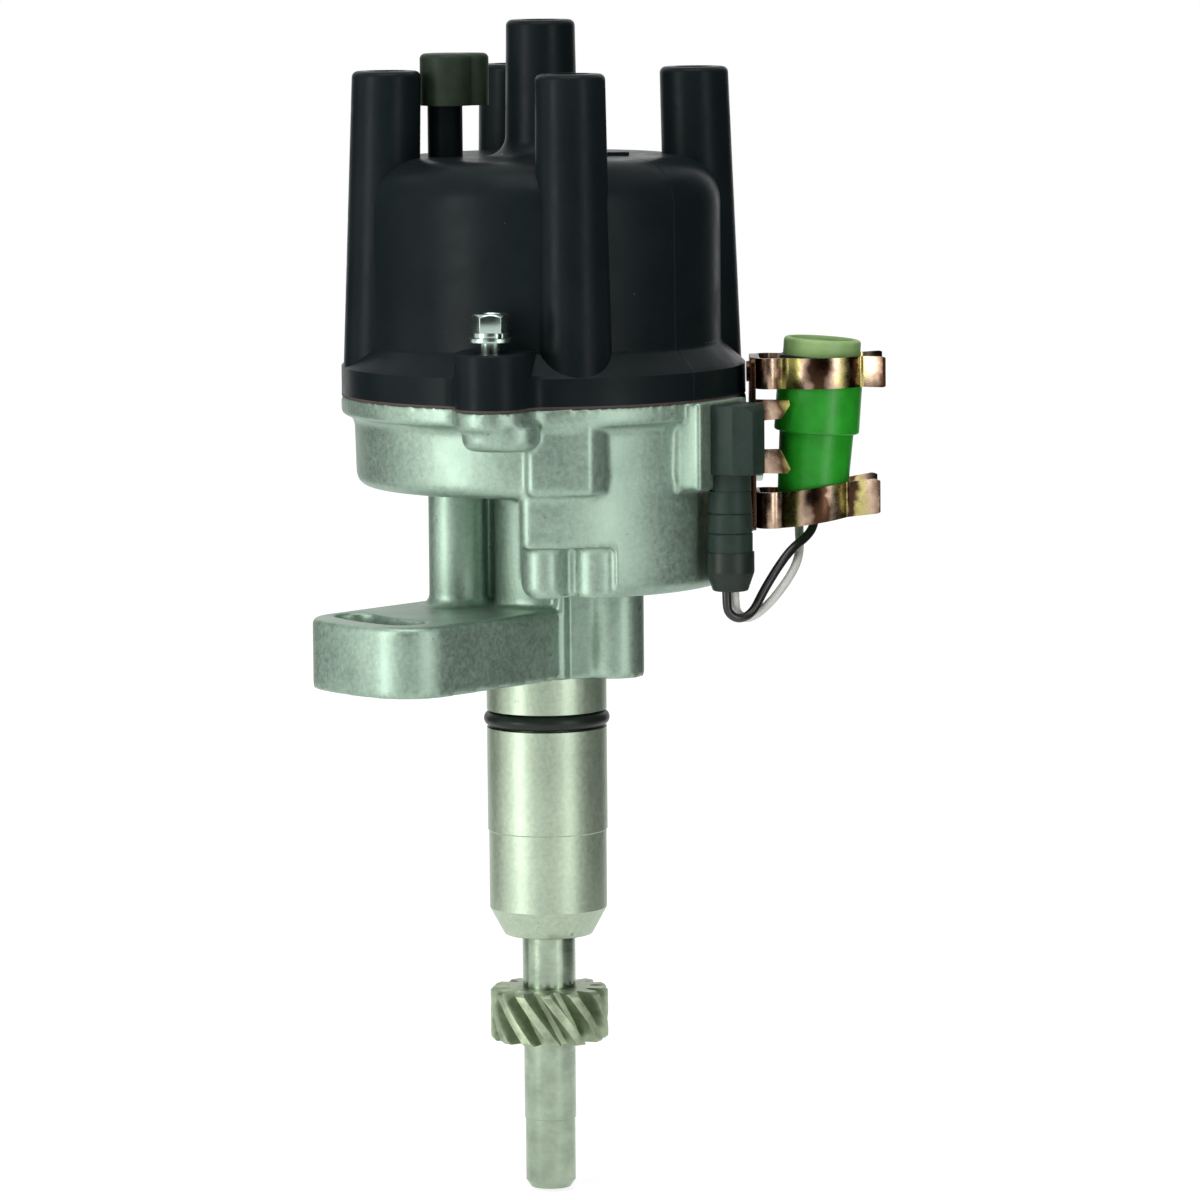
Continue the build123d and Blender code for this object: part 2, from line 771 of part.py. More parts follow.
def spindle_snap_ring():
    return open_ring(spindle_ring_radius, spindle_radius - snap_groove_depth, spindle_top_z - 2.0,
                     snap_ring_thickness, 2.0)


def twice(make):
    """Two copies of a piece, half a turn apart, as separate solids."""
    return [make(0), make(180)]


def governor_plate():
    """Round plate pressed on the shaft, with two lightening windows."""
    plate = pipe(governor_plate_radius, shaft_radius, governor_bottom_z, governor_top_z)
    for turn in (0, 180):
        window = rod(3.2, governor_bottom_z - 1, governor_top_z + 1, polar(pivot_radius, 90 + turn))
        plate -= window
        plate -= rod(pivot_pin_radius, governor_bottom_z - 1, governor_top_z + 1,
                     polar(pivot_radius, pivot_deg + turn))
    return plate


def weight_pins():
    def pin(turn):
        return rod(pivot_pin_radius, governor_bottom_z, post_top_z, polar(pivot_radius, pivot_deg + turn))
    return twice(pin)


def flyweight(turn):
    """Crescent weight on its pivot pin, with a drive pin that stands up into the cam plate."""
    ring = Circle(weight_outer_radius) - Circle(weight_inner_radius)
    wedge = outline((0, 0), polar(60, weight_start_deg), polar(60, (weight_start_deg + weight_end_deg) / 2),
                    polar(60, weight_end_deg))
    face = ring & wedge
    face = fillet(face.vertices(), 2.5)
    weight = raised(face, weight_bottom_z, weight_top_z)
    weight -= rod(pivot_pin_radius + RUNNING_FIT, weight_bottom_z - 1, weight_top_z + 1,
                  polar(pivot_radius, pivot_deg))
    weight += rod(drive_pin_radius, weight_bottom_z, cam_top_z, polar(drive_pin_orbit, drive_pin_deg))
    return Rot(0, 0, turn) * weight


def signal_shaft():
    """Sleeve that turns on the spindle, with the cam plate that the weights drive."""
    shape = Circle(cam_hub_radius)
    arm_half = cam_arm_width / 2
    for turn in (0, 180):
        arm = Pos((cam_arm_radius - arm_half) / 2, 0) * Rectangle(cam_arm_radius - arm_half, cam_arm_width)
        arm += Pos(cam_arm_radius - arm_half, 0) * Circle(arm_half)
        shape += Rot(0, 0, drive_pin_deg + turn) * arm
        ear = Pos(pivot_radius / 2, 0) * Rectangle(pivot_radius, 6) + Pos(pivot_radius, 0) * Circle(3.0)
        shape += Rot(0, 0, spring_post_deg + turn) * ear
    sleeve = raised(shape, cam_bottom_z, cam_top_z)
    sleeve += rod(sleeve_radius, cam_bottom_z, sleeve_top_z)
    sleeve -= rod(spindle_radius + RUNNING_FIT, cam_bottom_z - 1, sleeve_top_z + 1)
    slot_half = drive_pin_radius + drive_slot_clearance
    slot = SlotCenterToCenter(drive_pin_travel, 2 * slot_half)
    slot = Pos(drive_pin_orbit + drive_pin_travel / 2, 0) * slot
    for turn in (0, 180):
        sleeve -= raised(Rot(0, 0, drive_pin_deg + turn) * slot, cam_bottom_z - 1, cam_top_z + 1)
    recess = rod(spindle_ring_radius + 0.3, spindle_top_z - 2.0 - AXIAL_PLAY, sleeve_top_z + 1)
    return sleeve - recess


def spring_posts():
    def post(turn):
        return rod(spring_post_radius, cam_top_z, post_top_z, polar(pivot_radius, spring_post_deg + turn))
    return twice(post)


def weight_springs():
    """Close-wound tension springs with an eye round a post at each end."""
    def spring(turn):
        a = Vector(*polar(pivot_radius, pivot_deg + turn), spring_z)
        b = Vector(*polar(pivot_radius, spring_post_deg + turn), spring_z)
        length = (b - a).length
        direction = (b - a).normalized()
        coil_start = pivot_pin_radius + 1.4
        coil_stop = length - spring_post_radius - 1.4
        frame = Plane(origin=a, z_dir=direction)
        coil = Pos(0, 0, (coil_start + coil_stop) / 2) * (
            Cylinder(spring_radius, coil_stop - coil_start)
            - Cylinder(spring_radius - spring_wire, coil_stop - coil_start + 1))
        body = frame * coil
        for centre, inner in ((a, pivot_pin_radius), (b, spring_post_radius)):
            inner += SLIP_FIT
            eye = pipe(inner + 1.5, inner, spring_z - spring_wire / 2, spring_z + spring_wire / 2,
                       (centre.X, centre.Y))
            body += eye
        return body
    return twice(spring)


def signal_rotor():
    """Timing rotor with one tooth for each cylinder."""
    face = Circle(trigger_root_radius)
    for tooth in range(trigger_teeth):
        bar = Pos(trigger_tip_radius / 2, 0) * Rectangle(trigger_tip_radius, trigger_tooth_width)
        face += Rot(0, 0, electrode_azimuth + tooth * 360 / trigger_teeth) * bar
    face &= Circle(trigger_tip_radius)
    high = trigger_bottom_z + trigger_height
    return raised(face, trigger_bottom_z, high) - rod(sleeve_radius, trigger_bottom_z - 1, high + 1)


def rotor_arm():
    """Moulded rotor: a skirted hub on the sleeve and an arm under the electrode."""
    hub = turned(
        (0, rotor_bottom_z),
        (rotor_skirt_radius, rotor_bottom_z),
        (rotor_skirt_radius, rotor_bottom_z + rotor_skirt_height, 0.6),
        (rotor_hub_radius, rotor_bottom_z + rotor_blend_height, 2.0),
        (rotor_shoulder_radius, rotor_top_z - rotor_shoulder_drop, 2.0),
        (rotor_head_radius, rotor_top_z),
        (0, rotor_top_z),
    )
    reach = electrode_radius - electrode_tip_thickness
    arm_low = rotor_top_z - rotor_arm_depth
    gusset_low = rotor_top_z - rotor_gusset_depth
    arm = block((0, reach), (-rotor_arm_width / 2, rotor_arm_width / 2), (arm_low, rotor_top_z))
    arm &= rod(reach, arm_low - 1, rotor_top_z + 1)
    side = outline((0, gusset_low), (rotor_head_radius, gusset_low), (reach - rotor_gusset_inset, arm_low),
                   (0, arm_low))
    gusset = across(side, -rotor_gusset_thickness / 2, rotor_gusset_thickness / 2)
    tail = block((-rotor_tail_length, 0), (-rotor_tail_width / 2, rotor_tail_width / 2),
                 (rotor_top_z - rotor_tail_depth, rotor_top_z - 1.0))
    rotor = hub + Rot(0, 0, electrode_azimuth) * (arm + gusset + tail)
    return rotor - rod(sleeve_radius, rotor_bottom_z - 1, sleeve_top_z + 0.5)


def rotor_electrode():
    """Brass strip from the brush to the spark tip, bent down at its outer end."""
    reach = electrode_radius - electrode_tip_thickness
    strip = Pos(reach / 2, 0) * Rectangle(reach, electrode_width) + Circle(electrode_pad_radius)
    blade = raised(strip, rotor_top_z, electrode_top_z)
    tip = block((0, electrode_radius + 1), (-electrode_tip_width / 2, electrode_tip_width / 2),
                (rotor_top_z - electrode_tip_drop, electrode_top_z))
    tip &= pipe(electrode_radius, reach, rotor_top_z - electrode_tip_drop, electrode_top_z)
    return Rot(0, 0, electrode_azimuth) * (blade + tip)


def pickup_plate():
    plate = pipe(plate_outer_radius, plate_inner_radius, plate_z, plate_z + plate_thickness)
    for angle in plate_post_deg:
        plate -= rod(plate_screw_radius + SLIP_FIT, plate_z - 1, plate_z + plate_thickness + 1,
                     polar(plate_post_orbit, angle))
    for along in (-8.0, 8.0):
        hole = rod(1.5, plate_z - 1, plate_z + plate_thickness + 1, (yoke_mid(), along))
        plate -= Rot(0, 0, pickup_azimuth) * hole
    return plate


def yoke_mid():
    """Distance from the shaft axis to the middle of the pick-up yoke."""
    return trigger_tip_radius + pole_gap + pole_width + coil_length + 1.2


def pan_screw(radius, head_radius, head_height, length):
    """Pan-head screw pointing down, its head seated on height zero."""
    head = turned((0, 0), (head_radius, 0), (head_radius, head_height, 0.6), (0, head_height))
    recess = Pos(0, 0, head_height) * (Box(head_radius, 0.9, 1.6) + Box(0.9, head_radius, 1.6))
    return head - recess + rod(radius, -length, 0)


def plate_screws():
    return [
        Pos(*polar(plate_post_orbit, angle), plate_z + plate_thickness)
        * pan_screw(plate_screw_radius, plate_screw_head_radius, plate_screw_head_height, plate_screw_length)
        for angle in plate_post_deg
    ]


def in_pickup(shape):
    """Place a pick-up piece that was drawn with its pole along +X."""
    return Rot(0, 0, pickup_azimuth) * shape


def pickup_core():
    """Soft iron pole, with its face close to the tips of the timing rotor, and its yoke foot."""
    low = trigger_bottom_z + (trigger_height - pole_height) / 2
    face_x = trigger_tip_radius + pole_gap
    back = yoke_mid() - 2.5
    pole = block((face_x - 1, back), (-pole_width / 2, pole_width / 2), (low, low + pole_height))
    pole -= rod(face_x, low - 1, low + pole_height + 1)
    return in_pickup(pole)


def pickup_coil():
    """Moulded bobbin with its winding, threaded by the pole."""
    low = trigger_bottom_z + (trigger_height - pole_height) / 2
    middle = low + pole_height / 2
    start = trigger_tip_radius + pole_gap + pole_width
    stop = yoke_mid() - 2.5
    profile = outline((0, 0), (coil_radius, 0), (coil_radius, 1.2), (coil_radius - 0.9, 1.2),
                      (coil_radius - 0.9, stop - start - 1.2), (coil_radius, stop - start - 1.2),
                      (coil_radius, stop - start), (0, stop - start))
    coil = Pos(start, 0, middle) * Rot(0, 90, 0) * revolve(Plane.XZ * profile, Axis.Z)
    coil &= block((start - 1, stop + 1), (-9, 9), (plate_z + plate_thickness, middle + 9))
    coil -= block((start - 1, stop + 1), (-pole_width / 2, pole_width / 2), (low, low + pole_height))
    return in_pickup(coil)


def pickup_magnet():
    """Magnet block with two screw ears, behind the coil."""
    start = yoke_mid() - 2.5
    base_z = plate_z + plate_thickness
    magnet = block((start, start + magnet_length + 1.0), (-5.5, 5.5), (base_z, base_z + 9.5))
    ears = block((start, start + magnet_length + 1.0), (-yoke_length / 2 - 1, yoke_length / 2 + 1),
                 (base_z, base_z + 2.0))
    magnet += ears
    for along in (-8.0, 8.0):
        magnet -= rod(1.5, base_z - 1, base_z + 3, (yoke_mid(), along))
    return in_pickup(magnet)


def pickup_screws():
    height = plate_z + plate_thickness + 2.0
    return [
        in_pickup(Pos(yoke_mid(), along, height) * pan_screw(1.5, 2.4, 1.6, 2.0 + plate_thickness))
        for along in (-8.0, 8.0)
    ]


def tower_places():
    """Azimuth of each outer tower."""
    return [tower_azimuth + n * 360 / tower_count for n in range(tower_count)]


def tower(angle):
    """Outer tower, leaning in a little from its foot on the flange."""
    foot = Pos(*polar(tower_foot_orbit, angle), tower_foot_z) * Circle(tower_foot_radius)
    top = Pos(*polar(tower_top_orbit, angle), tower_top_z) * Circle(tower_top_radius)
    shape = loft([foot.face(), top.face()])
    rim = shape.edges().sort_by(Axis.Z)[-1]
    return fillet(rim, tower_edge_radius)


def cap():
    """Moulded cap: dome, flange with two screw ears, four plug towers and the coil tower."""
    flange_top_z = cap_base_z + cap_flange_height
    dome = turned(
        (0, cap_base_z + 1),
        (cap_flange_radius - cap_flange_edge, cap_base_z + 1),
        (cap_flange_radius - cap_flange_edge, flange_top_z),
        (cap_bevel_radius, flange_top_z + cap_bevel_height, 1.5),
        (dome_radius, dome_top_z, dome_edge_radius),
        (centre_tower_foot_radius, dome_top_z, centre_tower_blend),
        (tower_top_radius, centre_tower_top_z, tower_edge_radius),
        (0, centre_tower_top_z),
    )
    flange = raised(eared_face(cap_flange_radius), cap_base_z, flange_top_z)
    flange = chamfer(flange.edges().group_by(Axis.Z)[-1], cap_flange_edge)
    body = dome + flange
    for place in screw_places:
        ear = rod(ear_radius, cap_base_z, ear_top_z, place)
        lug = Pos(screw_orbit - 6, 0, (cap_base_z + ear_top_z) / 2) * Box(
            12, 2 * ear_radius, ear_top_z - cap_base_z)
        body += fillet(ear.edges().sort_by(Axis.Z)[-1], 0.8)
        body += Rot(0, 0, degrees(atan2(place[1], place[0]))) * lug
    for angle in tower_places():
        body += tower(angle)
    body += rod(vent_post_radius, dome_top_z - 2, vent_cover_top_z - 3.2, (vent_post_x, vent_y))
    body += block((14.5, 19.5), (-5, 3), (dome_top_z - 2, dome_top_z + roof_pad_height))

    # Inside of the dome, with the boss that guides the carbon brush
    inner = turned(
        (0, cap_base_z - 1),
        (dome_inner_radius + 1.0, cap_base_z - 1),
        (dome_inner_radius, roof_z, dome_edge_radius - cap_wall),
        (centre_boss_radius + 0.8, roof_z, 1.5),
        (centre_boss_radius, boss_bottom_z),
        (0, boss_bottom_z),
    )
    body -= inner

    # Sockets and holes
    for angle in tower_places():
        place = polar(tower_top_orbit, angle)
        body -= rod(socket_radius, socket_floor_z + terminal_cup_height, tower_top_z + 1, place)
        body -= rod(terminal_cup_radius + SLIP_FIT, socket_floor_z, tower_top_z, place)
        body -= rod(terminal_radius, terminal_bottom_z, roof_z, place)
        body -= rod(terminal_stem_radius, roof_z - 1, socket_floor_z + 1, place)
    body -= rod(socket_radius, centre_floor_z + terminal_cup_height, centre_tower_top_z + 1)
    body -= rod(terminal_cup_radius + SLIP_FIT, centre_floor_z, centre_tower_top_z)
    body -= rod(brush_radius + SLIP_FIT, boss_bottom_z - 1, centre_floor_z + 1)
    body -= rod(vent_bore_radius, roof_z - 1, vent_cover_top_z, (vent_post_x, vent_y))
    for place in screw_places:
        body -= rod(cap_screw_radius + SLIP_FIT, cap_base_z - 1, ear_top_z + 1, place)
    return body


def cap_gasket():
    face = eared_face(cap_flange_radius) - Circle(dome_inner_radius + 1.6)
    for place in screw_places:
        face -= Pos(*place) * Circle(cap_screw_radius + SLIP_FIT)
    return raised(face, rim_z, cap_base_z)


def tower_terminals():
    """Metal inserts: a post inside the dome and a cup in the tower socket."""
    inserts = []
    for angle in tower_places():
        place = polar(tower_top_orbit, angle)
        insert = rod(terminal_radius, terminal_bottom_z, roof_z, place)
        insert += rod(terminal_stem_radius, roof_z, socket_floor_z, place)
        cup = rod(terminal_cup_radius, socket_floor_z, socket_floor_z + terminal_cup_height, place)
        insert += cup - rod(terminal_cup_bore_radius, socket_floor_z + terminal_cup_floor,
                            socket_floor_z + terminal_cup_height + 1, place)
        inserts.append(insert)
    return inserts


def centre_terminal():
    top = centre_floor_z + terminal_cup_height
    insert = rod(brush_radius, brush_top_z + brush_spring_length, centre_floor_z)
    cup = rod(terminal_cup_radius, centre_floor_z, top)
    cup -= rod(terminal_cup_bore_radius, centre_floor_z + terminal_cup_floor, top + 1)
    return insert + cup


def carbon_brush():
    return turned(
        (0, brush_bottom_z),
        (brush_radius - 0.9, brush_bottom_z),
        (brush_radius, brush_bottom_z + 1.2),
        (brush_radius, brush_top_z),
        (0, brush_top_z),
    )


def brush_spring():
    """Compression spring above the brush, as one closed tube."""
    return pipe(brush_radius - 0.3, brush_radius - 0.3 - brush_spring_wire, brush_top_z,
                brush_top_z + brush_spring_length)


def cap_screws():
    """Hexagon head screws with a shallow dish in the head."""
    screws = []
    head_bottom = cap_screw_head_bottom_z
    head_top = head_bottom + cap_screw_head_height
    corner_radius = cap_screw_head_across / 2 / cos(pi / 6)
    for place in screw_places:
        hexagon = RegularPolygon(cap_screw_head_across / 2, 6, major_radius=False)
        head = raised(hexagon, head_bottom, head_top)
        head &= turned((0, head_bottom), (corner_radius + 0.1, head_bottom),
                       (corner_radius + 0.1, head_top - 0.9), (corner_radius - 0.9, head_top), (0, head_top))
        head -= turned((0, head_top - 0.8), (2.0, head_top - 0.8), (2.6, head_top + 0.1),
                       (0, head_top + 0.1))
        shank = turned((0, cap_screw_bottom_z), (cap_screw_radius - 0.7, cap_screw_bottom_z),
                       (cap_screw_radius, cap_screw_bottom_z + 0.9), (cap_screw_radius, head_bottom),
                       (0, head_bottom))
        screws.append(Pos(place[0], place[1], 0) * (head + shank))
    return screws


def cap_spring_washers():
    """Split washers right under the heads."""
    top = cap_screw_head_bottom_z
    low = top - spring_washer_thickness
    washers = []
    for place in screw_places:
        ring = pipe(spring_washer_radius, cap_screw_radius + SLIP_FIT, low, top)
        cut = block((1.5, 6), (-0.4, 0.4), (low - 1, top + 1))
        washers.append(Pos(place[0], place[1], 0) * Rot(0, 0, -60) * (ring - cut))
    return washers


def cap_plain_washers():
    top = cap_screw_head_bottom_z - spring_washer_thickness
    return [
        pipe(plain_washer_radius, cap_screw_radius + SLIP_FIT, top - plain_washer_thickness, top, place)
        for place in screw_places
    ]


def vent_cover():
    """Two-lobed cover over the vent post, open underneath."""
    half = vent_cover_half_width

    def lobes(shrink):
        radius = half - 1.0 - shrink
        return (Pos(vent_x - 1.3, vent_y) * Circle(radius)
                + Pos(vent_x + 3.2, vent_y + 1.4) * Circle(radius - 1.6))

    outer = raised(lobes(0), vent_cover_bottom_z, vent_cover_top_z)
    rim = outer.edges().group_by(Axis.Z)[-1]
    outer = fillet(rim, 1.2)
    inner = raised(lobes(vent_cover_wall), vent_cover_bottom_z - 1, vent_cover_top_z - 3.2)
    return outer - inner


def lead_grommet():
    """Block that leads the wires out of the bowl, with a plug that fills the window in the pad."""
    far = pad_distance + grommet_depth
    half = grommet_half_width
    face = outline((pad_distance, -half), (far - 3.2, -half), (far, -half + 3.4), (far, half - 3.0),
                   (far - 2.6, half), (pad_distance, half))
    head = raised(face, grommet_bottom_z, grommet_top_z)
    head = chamfer(head.faces().sort_by(Axis.X)[-1].edges().group_by(Axis.Z)[-1], 1.4)
    plug = block((bowl_inner_radius - 1, pad_distance), (-window_half_width, window_half_width),
                 (window_bottom_z, window_top_z))
    neck = rod(boot_radius - 0.3, boot_top_z, grommet_bottom_z + 0.5, (boot_orbit, 0))
    neck &= block((pad_distance, far), (-half, half), (boot_top_z, grommet_top_z))
    return Rot(0, 0, pad_azimuth) * (head + plug + neck)


def lead_boot():
    """Ribbed tube under the block, with grooves where its rings meet."""
    centre = polar(boot_orbit, pad_azimuth)
    points = [(0, boot_joint_z), (boot_radius, boot_joint_z)]
    for ring_z in boot_rings_z:
        points += [(boot_radius, ring_z - 0.25), (boot_radius - boot_groove_depth, ring_z),
                   (boot_radius, ring_z + 0.25)]
    points += [(boot_radius - 0.4, boot_top_z), (0, boot_top_z)]
    boot = Pos(centre[0], centre[1], 0) * turned(*points)
    return boot


def boot_sleeve():
    """Tapered end sleeve that the wires come out of."""
    centre = polar(boot_orbit, pad_azimuth)
    sleeve = Pos(centre[0], centre[1], 0) * turned(
        (0, boot_bottom_z),
        (sleeve_tip_radius, boot_bottom_z, 0.5),
        (sleeve_end_radius, boot_bottom_z + 4.2, 1.5),
        (sleeve_end_radius, boot_joint_z),
        (0, boot_joint_z),
    )
    for place in wire_starts():
        sleeve -= rod(wire_radius + SLIP_FIT, boot_bottom_z - 1, wire_start_z, place)
    return sleeve


def wire_starts():
    """Where the black and the white wire leave the sleeve, side by side."""
    centre = polar(boot_orbit, pad_azimuth)
    step = polar(wire_radius + wire_gap, wire_pair_deg)
    return [(centre[0] - step[0], centre[1] - step[1]), (centre[0] + step[0], centre[1] + step[1])]


def in_connector(shape):
    """Lean a connector piece, drawn upright about the shaft axis, into its place."""
    return Pos(connector_x, connector_y, connector_z) * Rot(0, connector_lean_deg, 0) * Pos(
        0, 0, -connector_z) * shape


def wire_ends():
    """Last run of each wire, up to the underside of the connector and square to it."""
    spots = []
    for place in wire_end_places:
        top = Vector(*place, connector_bottom_z - connector_z)
        low = top - Vector(0, 0, wire_end_run)
        spots.append([
            spot.rotate(Axis.Y, connector_lean_deg) + Vector(connector_x, connector_y, connector_z)
            for spot in (low, top)
        ])
    return spots


def wire(points):
    """Round wire along straight runs joined by tangent arcs as large as the runs allow."""
    runs = [(b - a).length for a, b in zip(points, points[1:])]
    radii = []
    for n in range(1, len(points) - 1):
        turn = (points[n] - points[n - 1]).get_angle(points[n + 1] - points[n])
        shorter = min(runs[n - 1], runs[n])
        radii.append(0.45 * shorter / tan(radians(turn / 2)))
    path = FilletPolyline(*points, radius=radii)
    section = Plane(origin=path @ 0, z_dir=path % 0) * Circle(wire_radius)
    print(f"wire length {path.length:.1f} mm")
    return sweep(section, path=path)


def wire_route(side, bends_from_sleeve, bends_from_connector):
    """Points of a wire: down out of the sleeve, through its bends and up into the connector."""
    x, y = wire_starts()[side]
    return [
        Vector(x, y, wire_start_z),
        Vector(x, y, wire_drop_z),
        *[Vector(x + dx, y + dy, z) for dx, dy, z in bends_from_sleeve],
        *[Vector(connector_x + dx, connector_y + dy, z) for dx, dy, z in bends_from_connector],
        *wire_ends()[side],
    ]


def black_wire():
    """Front wire, from the sleeve down, round and up into the connector."""
    return wire(wire_route(0, black_bends_from_sleeve, black_bends_from_connector))


def white_wire():
    """Rear wire, which bulges a little lower and further right, then rises behind the black one."""
    return wire(wire_route(1, white_bends_from_sleeve, white_bends_from_connector))


def connector_body():
    """Round socket, stepped outside, with a keyed bore and a floor for two contacts."""
    body = turned(
        (0, connector_bottom_z),
        (connector_foot_radius, connector_bottom_z, 0.6),
        (connector_low_radius, connector_step_z),
        (connector_top_radius, connector_step_z, 0.5),
        (connector_top_radius, connector_top_z, 0.4),
        (0, connector_top_z),
    )
    body -= rod(connector_bore_radius, connector_floor_z, connector_top_z + 1)
    key = block((connector_bore_radius - 1.2, connector_bore_radius + 0.4), (-1.0, 1.0),
                (connector_floor_z - 0.5, connector_top_z - 3.0))
    body += key
    for place in contact_places():
        body -= rod(contact_pin_radius, connector_bottom_z + 3, connector_floor_z + 1, place)
    return in_connector(body)


def contact_places():
    return [(0, -contact_pin_spacing / 2), (0, contact_pin_spacing / 2)]


def connector_pins():
    return [
        in_connector(rod(contact_pin_radius, connector_bottom_z + 3, contact_pin_top_z, place))
        for place in contact_places()
    ]


def connector_seal():
    low = connector_top_z
    ring = turned(
        (collar_bore_radius, low),
        (seal_radius, low, 0.4),
        (seal_radius, low + seal_height, 0.4),
        (collar_bore_radius, low + seal_height),
    )
    return in_connector(ring)


def connector_collar():
    low = connector_top_z + seal_height
    high = low + collar_height
    ring = turned(
        (collar_bore_radius, low),
        (collar_radius, low),
        (collar_radius, high, 0.8),
        (collar_bore_radius + 0.4, high, 0.3),
        (collar_bore_radius, high - 0.8),
    )
    return in_connector(ring)


def clip_centre_x(z_range):
    """Where the leaning connector's axis passes the middle of a clip."""
    middle = (z_range[0] + z_range[1]) / 2
    return connector_x + (middle - connector_z) * tan(radians(connector_lean_deg))


def spring_clip(z_range, grip_radius, end_x, left_rise, right_rise):
    """Bent strip that holds the connector from both sides, flared at its mouth."""
    centre_x = clip_centre_x(z_range)
    radius = grip_radius + CLIP_CLEARANCE + clip_thickness / 2
    start_deg, stop_deg = -35.0, 46.0
    half_sweep = radians((stop_deg - start_deg) / 2)
    middle_deg = radians((stop_deg + start_deg) / 2)

    def on_grip(angle_deg, further):
        a = radians(angle_deg)
        return (centre_x + radius * sin(a) + further * cos(a), radius * cos(a) - further * sin(a))

    root_x = clip_root_x + clip_thickness / 2
    apex = radius / cos(half_sweep)
    corner = (centre_x + apex * sin(middle_deg), apex * cos(middle_deg))
    neck = on_grip(start_deg, -2.6)
    notch = on_grip(stop_deg, 1.8)
    tab = (end_x - 0.8, notch[1] + 3.0)
    jaw = [(root_x, radius - 0.6), neck, corner, notch, tab]
    bends = [2.4, 2.4, radius, 1.3]
    front = [(x, connector_y - reach) for x, reach in jaw]
    rear = [(x, connector_y + reach) for x, reach in jaw]
    path = FilletPolyline(*(front[::-1] + rear), radius=bends[::-1] + bends)
    band = make_face(offset(path, clip_thickness / 2, side=Side.BOTH))
    low, high = z_range
    strip = raised(band, low - 6, high + 6)
    end_radius = (high - low) * 0.35
    shape = outline(
        (bracket_x - 4, low),
        (clip_root_x + 5, low),
        (end_x + 1, low + left_rise, end_radius),
        (end_x + 1, high + right_rise, end_radius),
        (clip_root_x + 5, high),
        (bracket_x - 4, high),
    )
    strip &= across(shape, connector_y - 25, connector_y + 25)
    return strip - rivet((low + high) / 2, 6)


def upper_clip():
    return spring_clip(upper_clip_z, connector_top_radius, upper_clip_end_x, 0.3, 0.3)


def lower_clip():
    return spring_clip(lower_clip_z, connector_low_radius - 0.3, lower_clip_end_x, 3.6, 3.4)


def rivet(height, length):
    return Pos(bracket_x - 1, connector_y, height) * Rot(0, 90, 0) * Cylinder(
        rivet_radius, length, align=(Align.CENTER, Align.CENTER, Align.MIN))


def clip_rivets():
    """Rivets that hold the clips on the bracket, with a low head on each side."""
    rivets = []
    inner_x = bracket_x - 0.7
    outer_x = clip_root_x + clip_thickness
    for z_range in (upper_clip_z, lower_clip_z):
        height = (z_range[0] + z_range[1]) / 2
        parts = (
            (rivet_radius, bracket_x, outer_x),
            (rivet_radius + 0.8, inner_x, bracket_x),
            (rivet_radius + 0.8, outer_x, outer_x + 0.7),
        )
        shape = Part()
        for radius, start, stop in parts:
            shape += Pos(start, connector_y, height) * Rot(0, 90, 0) * Cylinder(
                radius, stop - start, align=(Align.CENTER, Align.CENTER, Align.MIN))
        rivets.append(shape)
    return rivets


def clip_bracket():
    """Pressed steel plate on the housing, with two fingers bent towards the connector."""
    side = outline(
        (bracket_front_y, bracket_bottom_z, 2.0),
        (connector_y + 5.5, bracket_bottom_z, 2.0),
        (bracket_back_y, bracket_screw_z - 7.0, 4.0),
        (bracket_back_y, bracket_screw_z + 7.0, 4.0),
        (connector_y + 5.5, bracket_top_z, 2.0),
        (bracket_front_y, bracket_top_z, 2.0),
    )
    plate = extrude(Pos(bracket_x, 0, 0) * (Plane.YZ * side), bracket_thickness, dir=(1, 0, 0))
    tab_y = (bracket_front_y, bracket_front_y + tab_thickness)
    root = clip_root_x
    upper_tab = outline((bracket_x, 57.4), (root + 5.6, 58.0), (root + 7.6, 61.0), (root + 7.3, 62.2),
                        (bracket_x, 62.4))
    lower_tab = outline((bracket_x, 46.0), (root + 6.9, 45.8), (root + 7.7, 46.8), (root + 5.4, 51.3),
                        (bracket_x, 51.3))
    for tab in (upper_tab, lower_tab):
        plate += across(tab, *tab_y)
    hole = Pos(bracket_x - 1, bracket_screw_y, bracket_screw_z) * Rot(0, 90, 0) * Cylinder(
        bracket_screw_radius + SLIP_FIT, 4, align=(Align.CENTER, Align.CENTER, Align.MIN))
    plate -= hole
    for z_range in (upper_clip_z, lower_clip_z):
        plate -= rivet((z_range[0] + z_range[1]) / 2, 6)
    return plate


def bracket_screw():
    screw = pan_screw(bracket_screw_radius, bracket_screw_head_radius, bracket_screw_head_height,
                      bracket_thickness + bracket_screw_depth)
    return Pos(clip_root_x, bracket_screw_y, bracket_screw_z) * Rot(0, 90, 0) * screw


